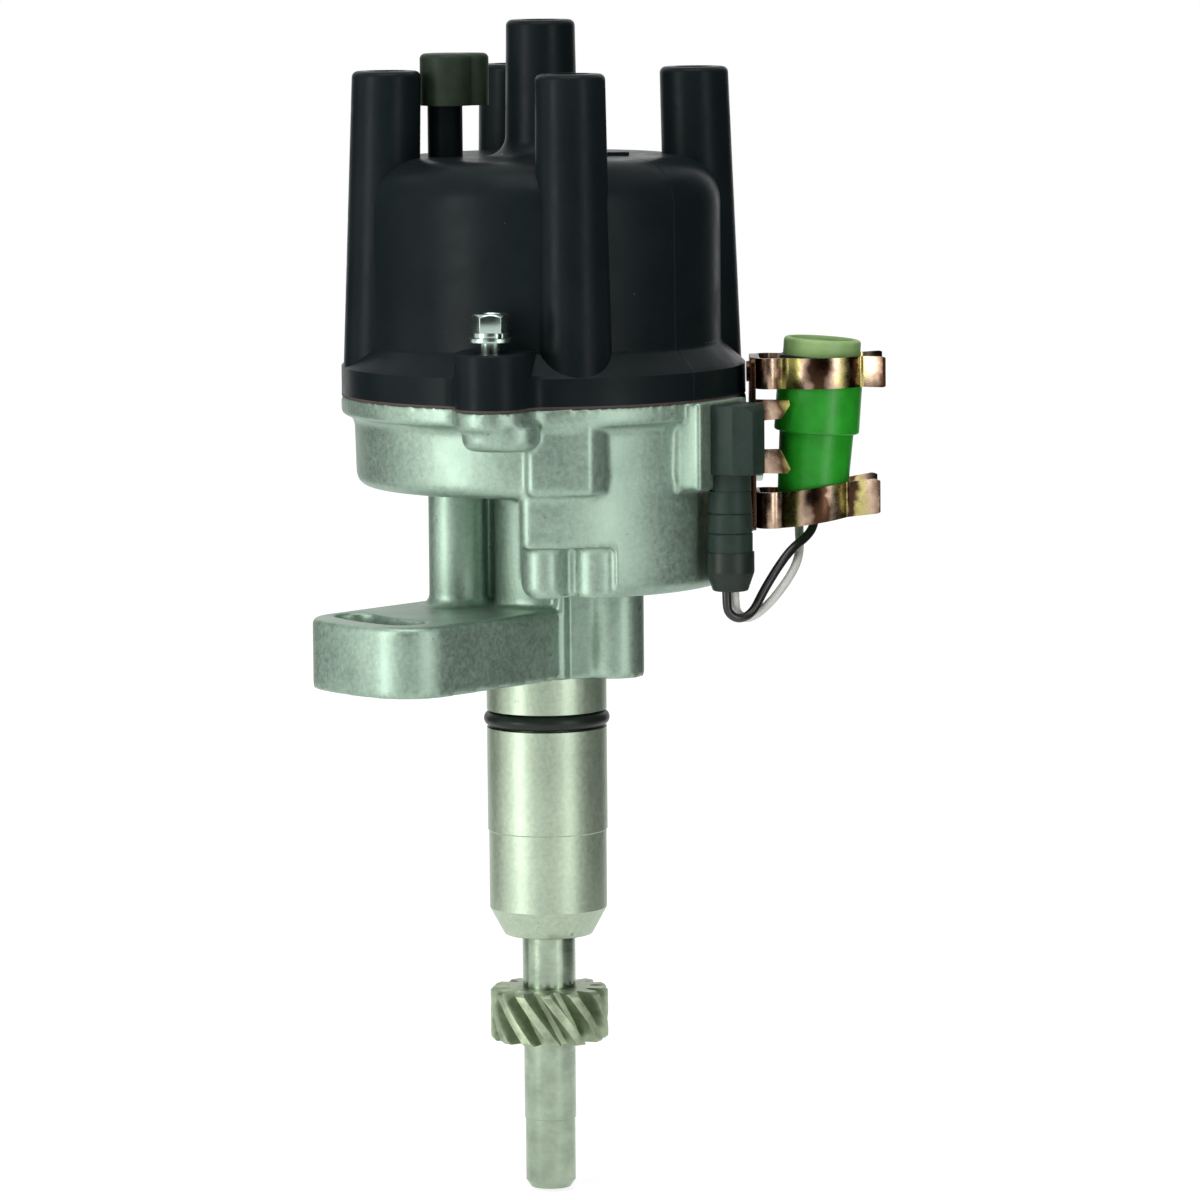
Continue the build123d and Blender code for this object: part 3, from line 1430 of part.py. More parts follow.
NODES = {
    "housing": housing,
    "lower_chamber": lower_chamber,
    "spigot": spigot,
    "clamp_foot": clamp_foot,
    "spigot_o_ring": spigot_o_ring,
    "upper_bush": upper_bush,
    "lower_bush": lower_bush,
    "main_shaft": main_shaft,
    "drive_gear": drive_gear,
    "gear_pin": gear_pin,
    "upper_thrust_washer": upper_thrust_washer,
    "lower_thrust_washer": lower_thrust_washer,
    "shaft_snap_ring": shaft_snap_ring,
    "spindle_snap_ring": spindle_snap_ring,
    "governor_plate": governor_plate,
    "weight_pins": weight_pins,
    "weight_a": lambda: flyweight(0),
    "weight_b": lambda: flyweight(180),
    "signal_shaft": signal_shaft,
    "spring_posts": spring_posts,
    "weight_springs": weight_springs,
    "signal_rotor": signal_rotor,
    "rotor_arm": rotor_arm,
    "rotor_electrode": rotor_electrode,
    "pickup_plate": pickup_plate,
    "plate_screws": plate_screws,
    "pickup_core": pickup_core,
    "pickup_coil": pickup_coil,
    "pickup_magnet": pickup_magnet,
    "pickup_screws": pickup_screws,
    "cap": cap,
    "cap_gasket": cap_gasket,
    "tower_terminals": tower_terminals,
    "centre_terminal": centre_terminal,
    "carbon_brush": carbon_brush,
    "brush_spring": brush_spring,
    "cap_screws": cap_screws,
    "cap_spring_washers": cap_spring_washers,
    "cap_plain_washers": cap_plain_washers,
    "vent_cover": vent_cover,
    "lead_grommet": lead_grommet,
    "lead_boot": lead_boot,
    "boot_sleeve": boot_sleeve,
    "black_wire": black_wire,
    "white_wire": white_wire,
    "clip_bracket": clip_bracket,
    "bracket_screw": bracket_screw,
    "upper_clip": upper_clip,
    "lower_clip": lower_clip,
    "clip_rivets": clip_rivets,
    "connector_body": connector_body,
    "connector_seal": connector_seal,
    "connector_collar": connector_collar,
    "connector_pins": connector_pins,
}


def solids_of(made):
    """Every solid in a piece or in a list of pieces."""
    pieces = made if isinstance(made, list) else [made]
    return [solid for piece in pieces for solid in piece.solids()]


os.makedirs("parts", exist_ok=True)
for name, make in NODES.items():
    solids = solids_of(make())
    shape = solids[0] if len(solids) == 1 else Compound(children=solids)
    shape.label = name
    export_step(shape, f"parts/{name}.step")
    print(f"{name:22s} {len(solids)} solid(s)  {sum(s.volume for s in solids):10.1f} mm3")
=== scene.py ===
# %% [markdown]
# # An engine's ignition distributor, dressed for a studio photograph
#
# The solids come from the CAD model and stay where they are. This lesson gives them the finishes of
# the real object: cast aluminium, ground steel, a satin moulded cap and zinc plate that shines in
# several colours. A few pieces are made again with softer edges than the solids have.
#
# Everything is in metres. The shaft stands along Z and the underside of the foot is at height zero.

# %% Load the frame
import json
from math import radians

import bmesh
import bpy
from mathutils import Matrix, Vector


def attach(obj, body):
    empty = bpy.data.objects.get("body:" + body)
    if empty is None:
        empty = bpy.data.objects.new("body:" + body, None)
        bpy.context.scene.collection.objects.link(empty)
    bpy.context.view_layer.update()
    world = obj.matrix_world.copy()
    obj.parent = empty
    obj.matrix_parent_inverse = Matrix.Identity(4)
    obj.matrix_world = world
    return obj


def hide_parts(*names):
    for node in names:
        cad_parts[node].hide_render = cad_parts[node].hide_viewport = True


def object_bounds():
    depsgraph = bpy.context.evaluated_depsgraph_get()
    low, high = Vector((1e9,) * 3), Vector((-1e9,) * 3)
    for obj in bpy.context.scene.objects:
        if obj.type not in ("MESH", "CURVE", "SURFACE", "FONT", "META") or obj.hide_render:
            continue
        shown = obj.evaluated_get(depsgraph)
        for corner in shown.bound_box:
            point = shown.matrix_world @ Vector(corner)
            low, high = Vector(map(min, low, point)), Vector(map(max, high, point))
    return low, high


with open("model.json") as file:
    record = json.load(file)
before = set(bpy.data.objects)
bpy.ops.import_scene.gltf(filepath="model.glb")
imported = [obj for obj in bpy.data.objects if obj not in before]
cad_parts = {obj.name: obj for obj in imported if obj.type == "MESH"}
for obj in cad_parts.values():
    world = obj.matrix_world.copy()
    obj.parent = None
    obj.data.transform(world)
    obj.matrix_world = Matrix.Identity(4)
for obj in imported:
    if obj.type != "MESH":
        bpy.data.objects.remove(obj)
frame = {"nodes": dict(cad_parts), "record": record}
cad_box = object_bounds()
nodes = frame["nodes"]
print("CAD nodes:", len(nodes), "box:", [round(v, 4) for corner in cad_box for v in corner])

# %% [markdown]
# ## The camera
#
# The photograph was taken from about a metre and a half away with a long lens, from a little above
# the top of the cap and looking down by less than seven degrees. A long lens keeps the towers upright
# and parallel. The object leans a little in the picture, so the camera is rolled by half a degree.

# %% Place the camera
camera_place = (0.0122, -1.480, 0.1873)
camera_down_deg = 6.6
camera_roll_deg = -0.487
camera_lens_mm = 198.9
camera_sensor_mm = 36.0

camera_data = bpy.data.cameras.new("camera")
camera_data.sensor_width = camera_sensor_mm
camera_data.lens = camera_lens_mm
camera_data.clip_start = 0.05
camera_data.clip_end = 50.0
camera = bpy.data.objects.new("camera", camera_data)
bpy.context.collection.objects.link(camera)
tilt = Matrix.Rotation(radians(90 - camera_down_deg), 4, "X")
roll = Matrix.Rotation(radians(camera_roll_deg), 4, "Z")
camera.matrix_world = Matrix.Translation(camera_place) @ tilt @ roll
bpy.context.scene.camera = camera
bpy.context.scene.view_settings.view_transform = "Standard"
print("camera", [round(v, 3) for v in camera.location], "lens", camera_lens_mm)

# %% [markdown]
# ## The white world
#
# The object was photographed on pure white. The world is white for the camera, for reflections and
# for anything clear, but weaker as a light, so it never burns out a pale surface. A Light Path node
# tells the two kinds of ray apart.

# %% Make the world
background_white = 1.0
world_light = 0.55


def shown_share(tree):
    """One for a ray from the camera, a mirror or glass, and zero for light that falls on the object."""
    rays = tree.nodes.new("ShaderNodeLightPath")
    share = rays.outputs["Is Camera Ray"]
    for kind in ("Is Glossy Ray", "Is Transmission Ray"):
        either = tree.nodes.new("ShaderNodeMath")
        either.operation = "MAXIMUM"
        tree.links.new(share, either.inputs[0])
        tree.links.new(rays.outputs[kind], either.inputs[1])
        share = either.outputs[0]
    return share


def lit_or_shown(tree, lighting, picture):
    """Uses one shader as a light and the other as what is seen."""
    mixed = tree.nodes.new("ShaderNodeMixShader")
    tree.links.new(shown_share(tree), mixed.inputs["Fac"])
    tree.links.new(lighting, mixed.inputs[1])
    tree.links.new(picture, mixed.inputs[2])
    return mixed.outputs[0]


def white_background(tree, strength):
    """White world shader of a given strength."""
    background = tree.nodes.new("ShaderNodeBackground")
    background.inputs["Color"].default_value = (1.0, 1.0, 1.0, 1.0)
    background.inputs["Strength"].default_value = strength
    return background.outputs[0]


world = bpy.data.worlds.new("studio")
world.use_nodes = True
bpy.context.scene.world = world
tree = world.node_tree
tree.nodes.clear()
sky = lit_or_shown(tree, white_background(tree, world_light), white_background(tree, background_white))
tree.links.new(sky, tree.nodes.new("ShaderNodeOutputWorld").inputs["Surface"])
print("world light", world_light, "seen as", background_white)

# %% [markdown]
# ## The lamps
#
# Two narrow upright lamps stand close by, the left one stronger. They draw the upright highlights on
# the spigot, the column and the shaft, and leave the right side darker. A wide lamp hangs above.

# %% Hang the lamps
lamp_aim = (0, 0, 0.03)


def soft_lamp(name, place, size, watts):
    """Rectangular lamp that points at the middle of the object."""
    data = bpy.data.lights.new(name, "AREA")
    data.shape = "RECTANGLE"
    data.size, data.size_y = size
    data.energy = watts
    lamp = bpy.data.objects.new(name, data)
    bpy.context.collection.objects.link(lamp)
    lamp.location = place
    lamp.rotation_euler = (Vector(lamp_aim) - Vector(place)).to_track_quat("-Z", "Y").to_euler()


soft_lamp("lamp_left", place=(-0.42, -0.31, 0.13), size=(0.16, 0.50), watts=1.7)
soft_lamp("lamp_right", place=(0.36, -0.42, 0.13), size=(0.10, 0.50), watts=0.8)
soft_lamp("lamp_top", place=(0.0, -0.3, 1.3), size=(0.9, 0.9), watts=8.0)

# %% [markdown]
# ## The white sheet
#
# The floor is a white sheet just under the tip of the shaft. It glows a little for the camera and for
# reflections, so it looks as white as the paper in the picture, and its own matt part still takes the
# soft shadow under the tip.

# %% Lay the white sheet
floor_gap = 0.0008
floor_z = cad_box[0][2] - floor_gap
floor_size = 6.0
floor_glow = 0.8
floor_matt = 0.42       # grey that takes the shadow, where the sheet is seen
floor_bounce = 0.9      # grey that sends light back to the object


def flat_sheet(name, size, height=0.0):
    """Level square sheet that belongs to the studio."""
    shape = bmesh.new()
    bmesh.ops.create_grid(shape, x_segments=2, y_segments=2, size=size / 2)
    bmesh.ops.translate(shape, verts=shape.verts, vec=(0, 0, height))
    mesh = bpy.data.meshes.new(name)
    shape.to_mesh(mesh)
    shape.free()
    sheet = bpy.data.objects.new(name, mesh)
    bpy.context.collection.objects.link(sheet)
    return sheet


def matt_grey(tree, value):
    """Matt shader of one grey."""
    matt = tree.nodes.new("ShaderNodeBsdfDiffuse")
    matt.inputs["Color"].default_value = (value, value, value, 1)
    return matt.outputs[0]


floor = flat_sheet("floor", floor_size, floor_z)
paper = bpy.data.materials.new("white_paper")
paper.use_nodes = True
tree = paper.node_tree
tree.nodes.clear()
glow = tree.nodes.new("ShaderNodeEmission")
glow.inputs["Strength"].default_value = floor_glow
glowing = tree.nodes.new("ShaderNodeAddShader")
tree.links.new(matt_grey(tree, floor_matt), glowing.inputs[0])
tree.links.new(glow.outputs[0], glowing.inputs[1])
sheet_surface = lit_or_shown(tree, matt_grey(tree, floor_bounce), glowing.outputs[0])
tree.links.new(sheet_surface, tree.nodes.new("ShaderNodeOutputMaterial").inputs["Surface"])
floor.data.materials.append(paper)
print("floor at", round(floor_z, 4))

# %% [markdown]
# ## Dark cards
#
# Bright metal needs something dark to reflect, or it looks like white paint. One card stands behind
# the camera and one at each side, where they also keep the sides of the cap dark. The camera itself
# doesn't see them.

# %% Set up the dark cards
card_paint = bpy.data.materials.new("card_paint")
card_paint.use_nodes = True
card_shader = card_paint.node_tree.nodes["Principled BSDF"]
card_shader.inputs["Base Color"].default_value = (0.02, 0.02, 0.02, 1)
card_shader.inputs["Roughness"].default_value = 0.9


def dark_card(name, width, height, place, turn_deg):
    """Upright dark rectangle that only reflections and shadows can see."""
    card = flat_sheet(name, 1.0)
    card.data.transform(Matrix.Diagonal((width, height, 1.0, 1.0)))
    upright = Matrix.Rotation(radians(turn_deg), 4, "Z") @ Matrix.Rotation(radians(90), 4, "X")
    card.data.transform(Matrix.Translation(place) @ upright)
    card.visible_camera = False
    card.data.materials.append(card_paint)


dark_card("card_behind_camera", width=1.3, height=2.6, place=(0.1, -1.6, 0.6), turn_deg=0)
dark_card("card_at_right", width=0.5, height=0.44, place=(0.26, 0.10, 0.10), turn_deg=90)
dark_card("card_at_left", width=0.3, height=0.44, place=(-0.30, 0.20, 0.10), turn_deg=90)

# %% [markdown]
# ## A helper for finishes
#
# Every finish is a Principled shader whose colour and roughness wander a little over the surface, as
# they do on anything that was cast, ground or moulded. The patterns read Object coordinates, so they
# stay on the piece when it turns. Fine grain goes into a Bump node.

# %% Build a finish from its numbers
FINISHES = {}
pattern_low, pattern_high = 0.3, 0.7    # most of a noise pattern lies between these
roughness_drift = 0.15
black, white = (0, 0, 0), (1, 1, 1)


class Finish:
    """One material, with short calls for the nodes that its pattern needs."""

    def __init__(self, name, metallic, roughness, shine=0.5):
        self.material = bpy.data.materials.new(name)
        self.material.use_nodes = True
        self.tree = self.material.node_tree
        self.shader = self.tree.nodes["Principled BSDF"]
        self.shader.inputs["Metallic"].default_value = metallic
        self.shader.inputs["Roughness"].default_value = roughness
        self.shader.inputs["Specular IOR Level"].default_value = shine
        self.place = self.node("TexCoord").outputs["Object"]
        FINISHES[name] = self

    def feed(self, socket, value):
        """Links an input, or writes a value into it."""
        if isinstance(value, bpy.types.NodeSocket):
            self.tree.links.new(value, socket)
        else:
            socket.default_value = value

    def node(self, kind, **inputs):
        """New node with some inputs set by name."""
        made = self.tree.nodes.new("ShaderNode" + kind)
        for key, value in inputs.items():
            self.feed(made.inputs[key.replace("_", " ")], value)
        return made

    def noise(self, size_m, detail=4.0, rough=0.6, stretch=(1, 1, 1)):
        """Cloudy pattern whose patches are about this size."""
        moved = self.node("Mapping", Vector=self.place, Scale=stretch)
        pattern = self.node("TexNoise", Vector=moved.outputs["Vector"], Scale=1 / size_m,
                            Detail=detail, Roughness=rough)
        return pattern.outputs["Fac"]

    def ramp(self, value, *stops):
        """Colour ramp through (position, colour) stops."""
        made = self.node("ValToRGB", Fac=value)
        steps = made.color_ramp.elements
        while len(steps) < len(stops):
            steps.new(0.5)
        for step, (position, colour) in zip(steps, stops):
            step.position = position
            step.color = (*colour, 1)
        return made.outputs["Color"]

    def drift(self, pattern, low, high):
        """Colour that goes from one to the other with a noise pattern."""
        return self.ramp(pattern, (pattern_low, low), (pattern_high, high))

    def grey(self, pattern, low, high):
        """Number that goes from one to the other with a noise pattern."""
        made = self.node("MapRange", Value=pattern, From_Min=pattern_low, From_Max=pattern_high,
                         To_Min=low, To_Max=high)
        return made.outputs["Result"]

    def mix(self, share, first, second):
        """Blend of two colours."""
        made = self.tree.nodes.new("ShaderNodeMix")
        made.data_type = "RGBA"
        share_socket, first_socket, second_socket = made.inputs[0], made.inputs[6], made.inputs[7]
        self.feed(share_socket, share)
        for socket, colour in ((first_socket, first), (second_socket, second)):
            self.feed(socket, (*colour, 1) if isinstance(colour, tuple) else colour)
        return made.outputs[2]

    def math(self, operation, *values):
        """One step of arithmetic."""
        made = self.tree.nodes.new("ShaderNodeMath")
        made.operation = operation
        for socket, value in zip(made.inputs, values):
            self.feed(socket, value)
        return made.outputs[0]

    def axis(self, letter):
        """One coordinate of the place on the piece, in metres."""
        return self.node("SeparateXYZ", Vector=self.place).outputs[letter]

    def colour(self, value):
        """Sets the pattern of the colour."""
        self.feed(self.shader.inputs["Base Color"], value)

    def rough(self, value):
        """Sets the pattern of the roughness."""
        self.feed(self.shader.inputs["Roughness"], value)

    def bump(self, height, depth_m, strength=1.0, under=None):
        """Raises the surface by the pattern. A second pattern can lie under it."""
        made = self.node("Bump", Height=height, Distance=depth_m, Strength=strength)
        if under is not None:
            self.feed(made.inputs["Normal"], under)
        self.feed(self.shader.inputs["Normal"], made.outputs["Normal"])
        return made.outputs["Normal"]


def plain_finish(name, colour, metallic, roughness, variation=0.12, patch=0.004, grain=0.0004,
                 depth=0.00002, shine=0.5):
    """Finish with a soft drift in colour and a fine grain."""
    finish = Finish(name, metallic, roughness, shine)
    cloud = finish.noise(patch)
    darker = [c * (1 - variation) for c in colour]
    lighter = [min(1.0, c * (1 + variation)) for c in colour]
    finish.colour(finish.drift(cloud, darker, lighter))
    smoother, rougher = roughness * (1 - roughness_drift), roughness * (1 + roughness_drift)
    finish.rough(finish.grey(cloud, smoother, min(1.0, rougher)))
    finish.bump(finish.noise(grain), depth)


print("calls of a finish:", [call for call in vars(Finish) if not call.startswith("_")])

# %% [markdown]
# ## Finishes of the metal pieces
#
# The housing is die-cast aluminium: a pale grey skin with a slight green cast, a fine pebbled grain
# and a few dark pits. The spigot was turned, so it is paler and smoother. The shaft is ground, so its
# roughness runs in thin rings. The gear is dull.

# %% Make the metal finishes
speckle_m = 0.0011
speckle_share = 0.35
speckle_darker, speckle_paler = 0.8, 1.15   # times the dark and the pale colour
pit_m = 0.0021
pit_share = 0.55
pit_colour = (0.10, 0.11, 0.10)
pebble_m = 0.0006
pebble_strength = 0.6
swell_depth_m = 0.0002
swell_strength = 0.3


def aluminium(name, dark, pale, patch_m, depth_m, smoothest, roughest):
    """Aluminium with patches, a pebbled grain and small dark pits."""
    finish = Finish(name, metallic=0.8, roughness=0.46)
    cloud = finish.noise(patch_m, detail=6)
    broad = finish.drift(cloud, dark, pale)
    fine = finish.noise(speckle_m, detail=5, rough=0.7)
    darkest = [c * speckle_darker for c in dark]
    palest = [c * speckle_paler for c in pale]
    speckled = finish.ramp(fine, (0.35, darkest), (0.65, palest))
    skin = finish.mix(speckle_share, broad, speckled)
    pits = finish.ramp(finish.noise(pit_m, detail=3, rough=0.5), (0.24, white), (0.30, black))
    finish.colour(finish.mix(finish.math("MULTIPLY", pits, pit_share), skin, pit_colour))
    finish.rough(finish.grey(fine, smoothest, roughest))
    swell = finish.bump(cloud, swell_depth_m, swell_strength)
    pebbles = finish.noise(pebble_m, detail=4, rough=0.7)
    finish.bump(pebbles, depth_m, pebble_strength, under=swell)


aluminium("cast_aluminium", dark=(0.22, 0.306, 0.245), pale=(0.35, 0.465, 0.375), patch_m=0.012,
          depth_m=0.00004, smoothest=0.38, roughest=0.54)
aluminium("turned_aluminium", dark=(0.36, 0.44, 0.335), pale=(0.48, 0.58, 0.44), patch_m=0.02,
          depth_m=0.000008, smoothest=0.36, roughest=0.46)

steel = Finish("shaft_steel", metallic=1.0, roughness=0.25)
rings = steel.noise(0.0004, stretch=(0.05, 0.05, 1.0))
steel.colour(steel.drift(steel.noise(0.006), (0.23, 0.29, 0.22), (0.36, 0.44, 0.335)))
steel.rough(steel.grey(rings, 0.16, 0.26))
steel.bump(rings, 0.000003)

plain_finish("gear_steel", (0.33, 0.40, 0.27), 0.75, 0.42, variation=0.3, patch=0.003, depth=0.00003)
plain_finish("plate_steel", (0.50, 0.48, 0.38), 0.9, 0.38)
plain_finish("spring_steel", (0.35, 0.36, 0.35), 1.0, 0.35)
plain_finish("zinc_bright", (0.40, 0.50, 0.45), 1.0, 0.24, variation=0.10, depth=0.00001)
plain_finish("brass_contact", (0.70, 0.52, 0.24), 1.0, 0.3)
plain_finish("bush_bronze", (0.42, 0.28, 0.14), 0.9, 0.45)
plain_finish("magnet_grey", (0.13, 0.13, 0.14), 0.4, 0.55)
print("metal finishes", len(FINISHES))

# %% [markdown]
# ## The finish of the clips
#
# The clips and their bracket are zinc plated and then dipped, which leaves a thin film that shines in
# bands of straw, pink and olive. The near-black brown bands between them are painted shade where the
# strip is bent. A colour ramp along X makes all the bands, and a little noise keeps their edges from
# being ruled lines.

# %% Make the dipped zinc finish
band_start_x = 0.045
band_run = 0.032
band_wander = 0.16      # of the run
# painted shade: the near-black brown of the bands where the strip is bent
dark = (0.050, 0.025, 0.014)
olive = (0.22, 0.20, 0.06)
straw = (0.42, 0.37, 0.14)
pink = (0.46, 0.33, 0.24)
# the dark stops are painted shade, and the straw, pink and olive stops are the film's own colour
bands = ((0.0, dark), (0.11, dark), (0.17, pink), (0.24, dark), (0.30, olive), (0.36, olive),
         (0.40, pink), (0.46, dark), (0.55, dark), (0.60, pink), (0.67, straw), (0.72, dark),
         (0.76, dark), (0.79, straw), (0.86, pink), (0.93, dark))

zinc = Finish("yellow_zinc", metallic=1.0, roughness=0.28)
along = zinc.math("DIVIDE", zinc.math("SUBTRACT", zinc.axis("X"), band_start_x), band_run)
off_middle = zinc.math("SUBTRACT", zinc.noise(0.005, detail=2), 0.5)
wander = zinc.math("MULTIPLY", off_middle, band_wander)
zinc.colour(zinc.ramp(zinc.math("ADD", along, wander), *bands))
zinc.rough(zinc.grey(zinc.noise(0.002), 0.2, 0.36))
zinc.bump(zinc.noise(0.0005), 0.00001)
print("bands of colour on the clips", len(bands))

# %% [markdown]
# ## The finish of the cap
#
# The cap is a nearly black satin moulding. It has a few specks of dust, and the thin raised line where
# the halves of its mould met. A colour ramp with a steep step turns noise into specks. The line is a
# bump at one bearing round the shaft.

# %% Make the cap's finish
dust_m = 0.0016
dust_colour = (0.30, 0.32, 0.34)
dust_share = 0.5
seam_deg = -42.6
seam_half_width_rad = 0.008
seam_height = 0.00015
seam_strength = 0.8

moulding = Finish("cap_plastic", metallic=0.0, roughness=0.34, shine=0.06)
clean = moulding.drift(moulding.noise(0.02), (0.0055, 0.0090, 0.0100), (0.0085, 0.0130, 0.0145))
dust = moulding.ramp(moulding.noise(dust_m, detail=2, rough=0.4), (0.80, black), (0.83, white))
moulding.colour(moulding.mix(moulding.math("MULTIPLY", dust, dust_share), clean, dust_colour))
moulding.rough(moulding.grey(moulding.noise(0.006, detail=3), 0.28, 0.42))
bearing = moulding.math("ARCTAN2", moulding.axis("Y"), moulding.axis("X"))
off_seam = moulding.math("ABSOLUTE", moulding.math("SUBTRACT", bearing, radians(seam_deg)))
widths_off = moulding.math("DIVIDE", off_seam, seam_half_width_rad)
seam = moulding.math("SUBTRACT", 1.0, moulding.math("MINIMUM", 1.0, widths_off))
grain = moulding.bump(moulding.noise(0.0004), 0.000006)
moulding.bump(seam, seam_height, seam_strength, under=grain)
print("seam at", seam_deg, "degrees")

# %% [markdown]
# ## The other plastics and rubbers
#
# The wires, the connector, the rubbers and the hidden plastic pieces have one colour each, so one
# helper makes them all. A low shine keeps the dull ones from showing highlights that the photograph
# doesn't have.

# %% Make the other plastic and rubber finishes
plain_finish("rotor_plastic", (0.09, 0.06, 0.05), 0.0, 0.5)
plain_finish("coil_plastic", (0.05, 0.05, 0.06), 0.0, 0.45)
plain_finish("carbon", (0.03, 0.03, 0.03), 0.0, 0.7)
plain_finish("vent_olive", (0.020, 0.033, 0.019), 0.0, 0.5, variation=0.2, shine=0.15)
plain_finish("grommet_slate", (0.021, 0.036, 0.029), 0.0, 0.45, variation=0.2, shine=0.15)
plain_finish("rubber_black", (0.014, 0.021, 0.016), 0.0, 0.4, variation=0.2, shine=0.25)
plain_finish("gasket_brown", (0.05, 0.03, 0.024), 0.0, 0.7, variation=0.3, patch=0.002)
plain_finish("wire_black", (0.012, 0.012, 0.012), 0.0, 0.3, variation=0.1)
plain_finish("wire_white", (0.66, 0.66, 0.62), 0.0, 0.35, variation=0.05)
plain_finish("connector_green", (0.021, 0.33, 0.020), 0.0, 0.34, variation=0.15, shine=0.35)
plain_finish("collar_olive", (0.27, 0.44, 0.16), 0.0, 0.5, variation=0.12)
print("all finishes", len(FINISHES))

# %% [markdown]
# ## Finishes on the CAD nodes
#
# The record of the model says which material slot each node has. The finishes carry the same names,
# so a loop can put them on.

# %% Put the finishes on the CAD nodes
slot_of = {part["node"]: part["material_slot"] for part in frame["record"]["subparts"]}
for name, node in nodes.items():
    for place in node.material_slots:
        place.material = FINISHES[slot_of[name]].material
print("slots in use", len(set(slot_of.values())))

# %% [markdown]
# ## The two wires
#
# A black and a white wire leave the sleeve at the side, hang in a small loop and go up into the
# connector. They are the only free cords. Each is a smooth NURBS line through the CAD route, with a
# round section.

# %% Route the wires
wire_diameter = 0.002
black_route = [
    (0.04009, -0.0274, 0.024), (0.04009, -0.0274, 0.0189), (0.04049, -0.027, 0.0159),
    (0.04289, -0.0264, 0.0145), (0.04589, -0.0243, 0.0156), (0.0484, -0.022, 0.0203),
    (0.0519, -0.0192, 0.0256), (0.055, -0.016, 0.0292), (0.0583, -0.0123, 0.0312),
    (0.06022, -0.0094, 0.03361), (0.06045, -0.0094, 0.037),
]
white_route = [
    (0.04193, -0.02586, 0.024), (0.04193, -0.02586, 0.0189), (0.04243, -0.02316, 0.0154),
    (0.04493, -0.02146, 0.0139), (0.04883, -0.02126, 0.0164), (0.0529, -0.0196, 0.021),
    (0.0559, -0.0159, 0.0253), (0.0569, -0.0106, 0.0286), (0.05673, -0.0066, 0.03385),
    (0.05696, -0.0066, 0.03724),
]


def cord(name, points, material):
    """Round cord along a smooth line that starts and ends at its outer points."""
    curve = bpy.data.curves.new(name, "CURVE")
    curve.dimensions = "3D"
    line = curve.splines.new("NURBS")
    line.points.add(len(points) - 1)
    for spot, point in zip(line.points, points):
        spot.co = (*point, 1.0)
    line.order_u = 3
    line.use_endpoint_u = True
    line.resolution_u = 12
    curve.bevel_depth = wire_diameter / 2
    curve.bevel_resolution = 5
    curve.use_fill_caps = True
    curve.materials.append(material)
    made = bpy.data.objects.new(name, curve)
    bpy.context.collection.objects.link(made)
    return made


leads = [("black_lead", "black_wire", "wire_black", black_route, 0.0455),
         ("white_lead", "white_wire", "wire_white", white_route, 0.0456)]
for name, node, finish, route, length in leads:
    lead = cord(name, route, FINISHES[finish].material)
    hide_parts(node)
    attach(lead, "housing_and_cap")
    print(name, "length", length)

# %% [markdown]
# ## Helpers for pieces made again
#
# A CAD node is a set of loose triangles. A piece that is made again starts as a copy in which their
# corners are joined. It then takes over the node's body and material slot. Edges that bend by more
# than a given angle stay sharp, and the shading runs smoothly over all others.

# %% Copy CAD nodes and make pieces of the copies
same_place = 0.000001       # corners closer together than this are one
body_of = {node: body for body, names in frame["record"]["behaviour"]["bodies"].items()
           for node in names}


def joined_copy(*names):
    """Copy of some CAD nodes in one mesh, with the corners of the triangles joined."""
    shape = bmesh.new()
    for name in names:
        shape.from_mesh(nodes[name].data)
    bmesh.ops.remove_doubles(shape, verts=shape.verts, dist=same_place)
    return shape


def piece_from(name, shape, replaced, finish, smooth_deg):
    """New piece in place of some CAD nodes, with their body and material slot."""
    mesh = bpy.data.meshes.new(name)
    shape.normal_update()
    for face in shape.faces:
        face.smooth = True
    for edge in shape.edges:
        edge.smooth = edge.is_manifold and edge.calc_face_angle() < radians(smooth_deg)
    shape.to_mesh(mesh)
    shape.free()
    mesh.materials.clear()
    mesh.materials.append(FINISHES[finish].material)
    for polygon in mesh.polygons:
        polygon.material_index = 0
    piece = bpy.data.objects.new(name, mesh)
    bpy.context.collection.objects.link(piece)
    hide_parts(*replaced)
    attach(piece, body_of[replaced[0]])
    return piece


def cut_level(shape, height, keep_above):
    """Cuts a tube level and closes the cut with a flat ring."""
    bmesh.ops.bisect_plane(shape, geom=shape.verts[:] + shape.edges[:] + shape.faces[:], dist=0,
                           plane_co=(0, 0, height), plane_no=(0, 0, 1),
                           clear_inner=keep_above, clear_outer=not keep_above)
    rims = [edge for edge in shape.edges
            if edge.is_boundary and abs(edge.verts[0].co.z - height) < same_place]
    bmesh.ops.bridge_loops(shape, edges=rims)


def applied_mesh(owner):
    """Mesh of an object with its modifiers applied."""
    graph = bpy.context.evaluated_depsgraph_get()
    return bpy.data.meshes.new_from_object(owner.evaluated_get(graph))


# %% [markdown]
# ## The casting
#
# The bowl, the lower chamber, the neck and the foot are one casting. Where two of its faces meet there
# is a small fillet, because sand and dies can't hold a sharp corner. Bevelling so many joints one by
# one would take long, so the CAD solids are joined, laid out again as small voxels and smoothed. That
# rounds every edge by about the same amount, and also hides where the solids were parted. The dense
# mesh is then thinned out.

# %% Recast the housing with rounded corners
voxel = 0.0007
smoothing_rounds = 3
most_triangles = 185000
parting_height = -0.0002    # just below the foot, where the turned spigot begins

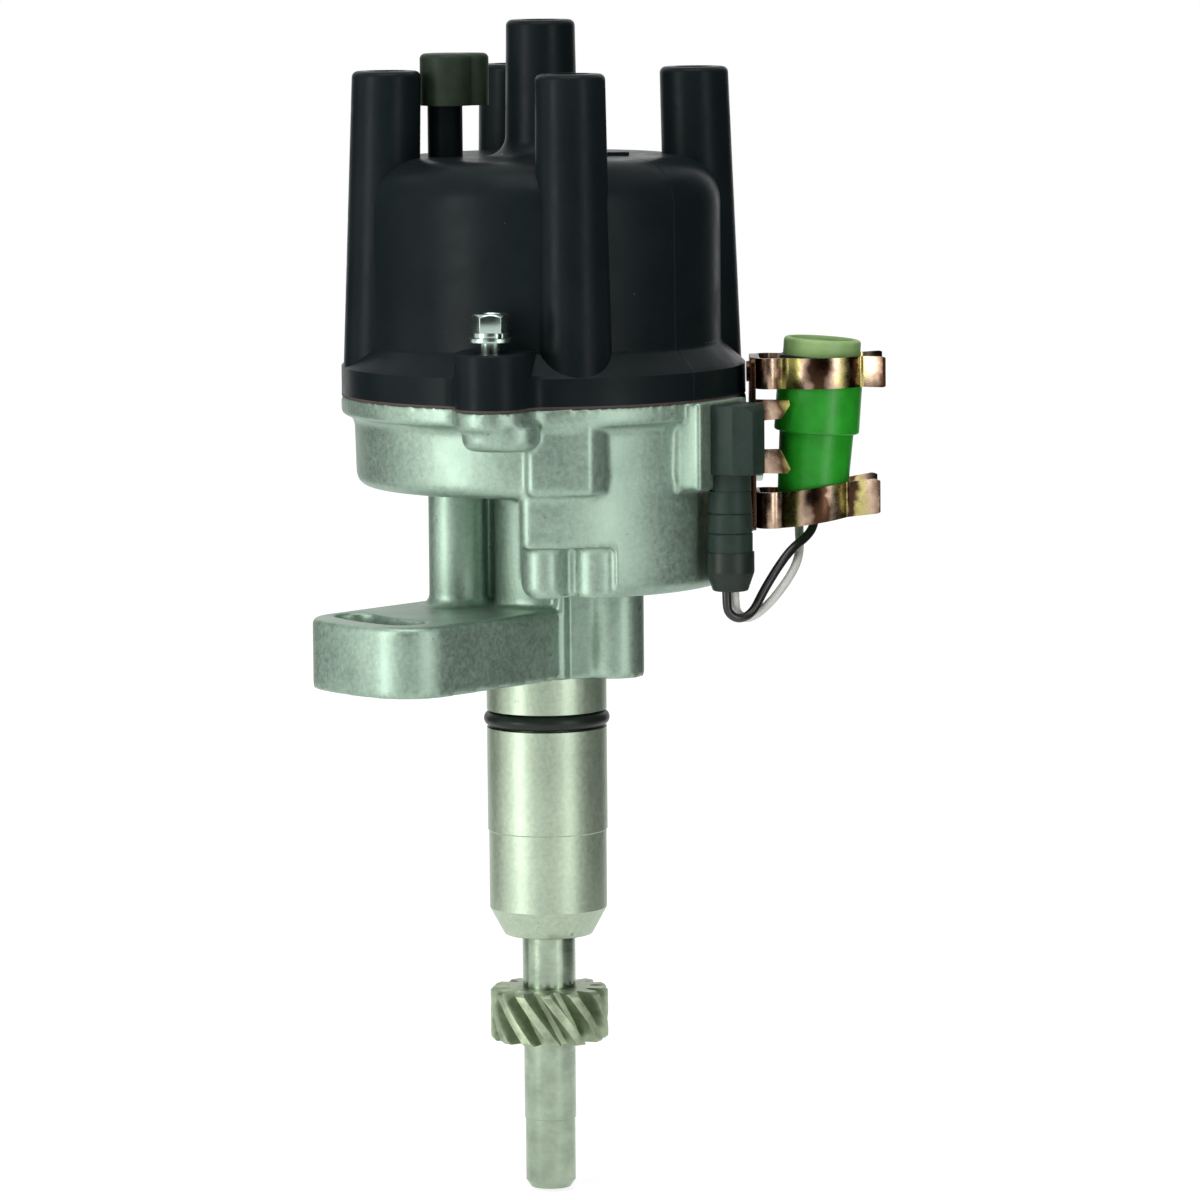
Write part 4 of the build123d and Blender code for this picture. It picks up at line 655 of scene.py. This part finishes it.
blank_mesh = bpy.data.meshes.new("casting_blank")
blank_shape = joined_copy("housing", "lower_chamber", "clamp_foot", "spigot")
blank_shape.to_mesh(blank_mesh)
blank_shape.free()
blank = bpy.data.objects.new("casting_blank", blank_mesh)
bpy.context.collection.objects.link(blank)
skin = blank.modifiers.new("skin", "REMESH")
skin.mode = "VOXEL"
skin.voxel_size = voxel
soften = blank.modifiers.new("soften", "SMOOTH")
soften.factor = 0.5
soften.iterations = smoothing_rounds
dense = applied_mesh(blank)
casting_shape = bmesh.new()
casting_shape.from_mesh(dense)
cut_level(casting_shape, parting_height, keep_above=True)
dense_triangles = 2 * len(casting_shape.faces)
casting_shape.to_mesh(dense)
casting_shape.free()
blank.modifiers.clear()
blank.data = dense
thin = blank.modifiers.new("thin", "DECIMATE")
thin.ratio = min(1.0, most_triangles / dense_triangles)
casting_shape = bmesh.new()
casting_shape.from_mesh(applied_mesh(blank))
bpy.data.objects.remove(blank)
casting = piece_from("housing_casting", casting_shape, ("housing", "lower_chamber", "clamp_foot"),
                     "cast_aluminium", smooth_deg=60)
print("casting triangles", dense_triangles, "then", len(casting.data.polygons))

# %% [markdown]
# ## The spigot
#
# Below the foot the casting was turned in a lathe, and voxels would blur its groove. So a copy of the
# CAD spigot is cut level where the recast housing ends, and keeps its crisp edges.

# %% Turn the spigot
spigot_shape = joined_copy("spigot")
cut_level(spigot_shape, parting_height, keep_above=False)
spigot = piece_from("spigot_turned", spigot_shape, ("spigot",), "turned_aluminium", smooth_deg=25)
print("spigot faces", len(spigot.data.polygons))

# %% [markdown]
# ## Small pieces with softened edges
#
# Screws, washers, clips and the gear have thin bright lines along their edges, because a real edge is
# never perfectly sharp. A narrow bevel on every sharp edge of a copy gives the light something to
# catch.

# %% Soften the edges of the small pieces
flat_deg = 0.8          # triangles that bend by less belong to one flat face
sharp_deg = 40
edge_widths = {"cap_screws": 0.00022, "cap_plain_washers": 0.00012, "cap_spring_washers": 0.00012,
               "clip_bracket": 0.0002, "upper_clip": 0.00016, "lower_clip": 0.00016,
               "drive_gear": 0.00022, "lead_grommet": 0.0004, "connector_collar": 0.00025}


def softened(name, node, width):
    """Copy of a CAD node with narrow bevels on its sharp edges."""
    shape = joined_copy(node)
    bmesh.ops.dissolve_limit(shape, angle_limit=radians(flat_deg), verts=shape.verts, edges=shape.edges)
    sharp = [edge for edge in shape.edges
             if edge.is_manifold and edge.calc_face_angle() > radians(sharp_deg)]
    bmesh.ops.bevel(shape, geom=sharp, offset=width, offset_type="OFFSET", affect="EDGES", segments=2,
                    profile=0.5, material=-1, clamp_overlap=True)
    return piece_from(name, shape, (node,), slot_of[node], smooth_deg=35)


for node, width in edge_widths.items():
    made = softened(node + "_finished", node, width)
    print(made.name, len(made.data.polygons))
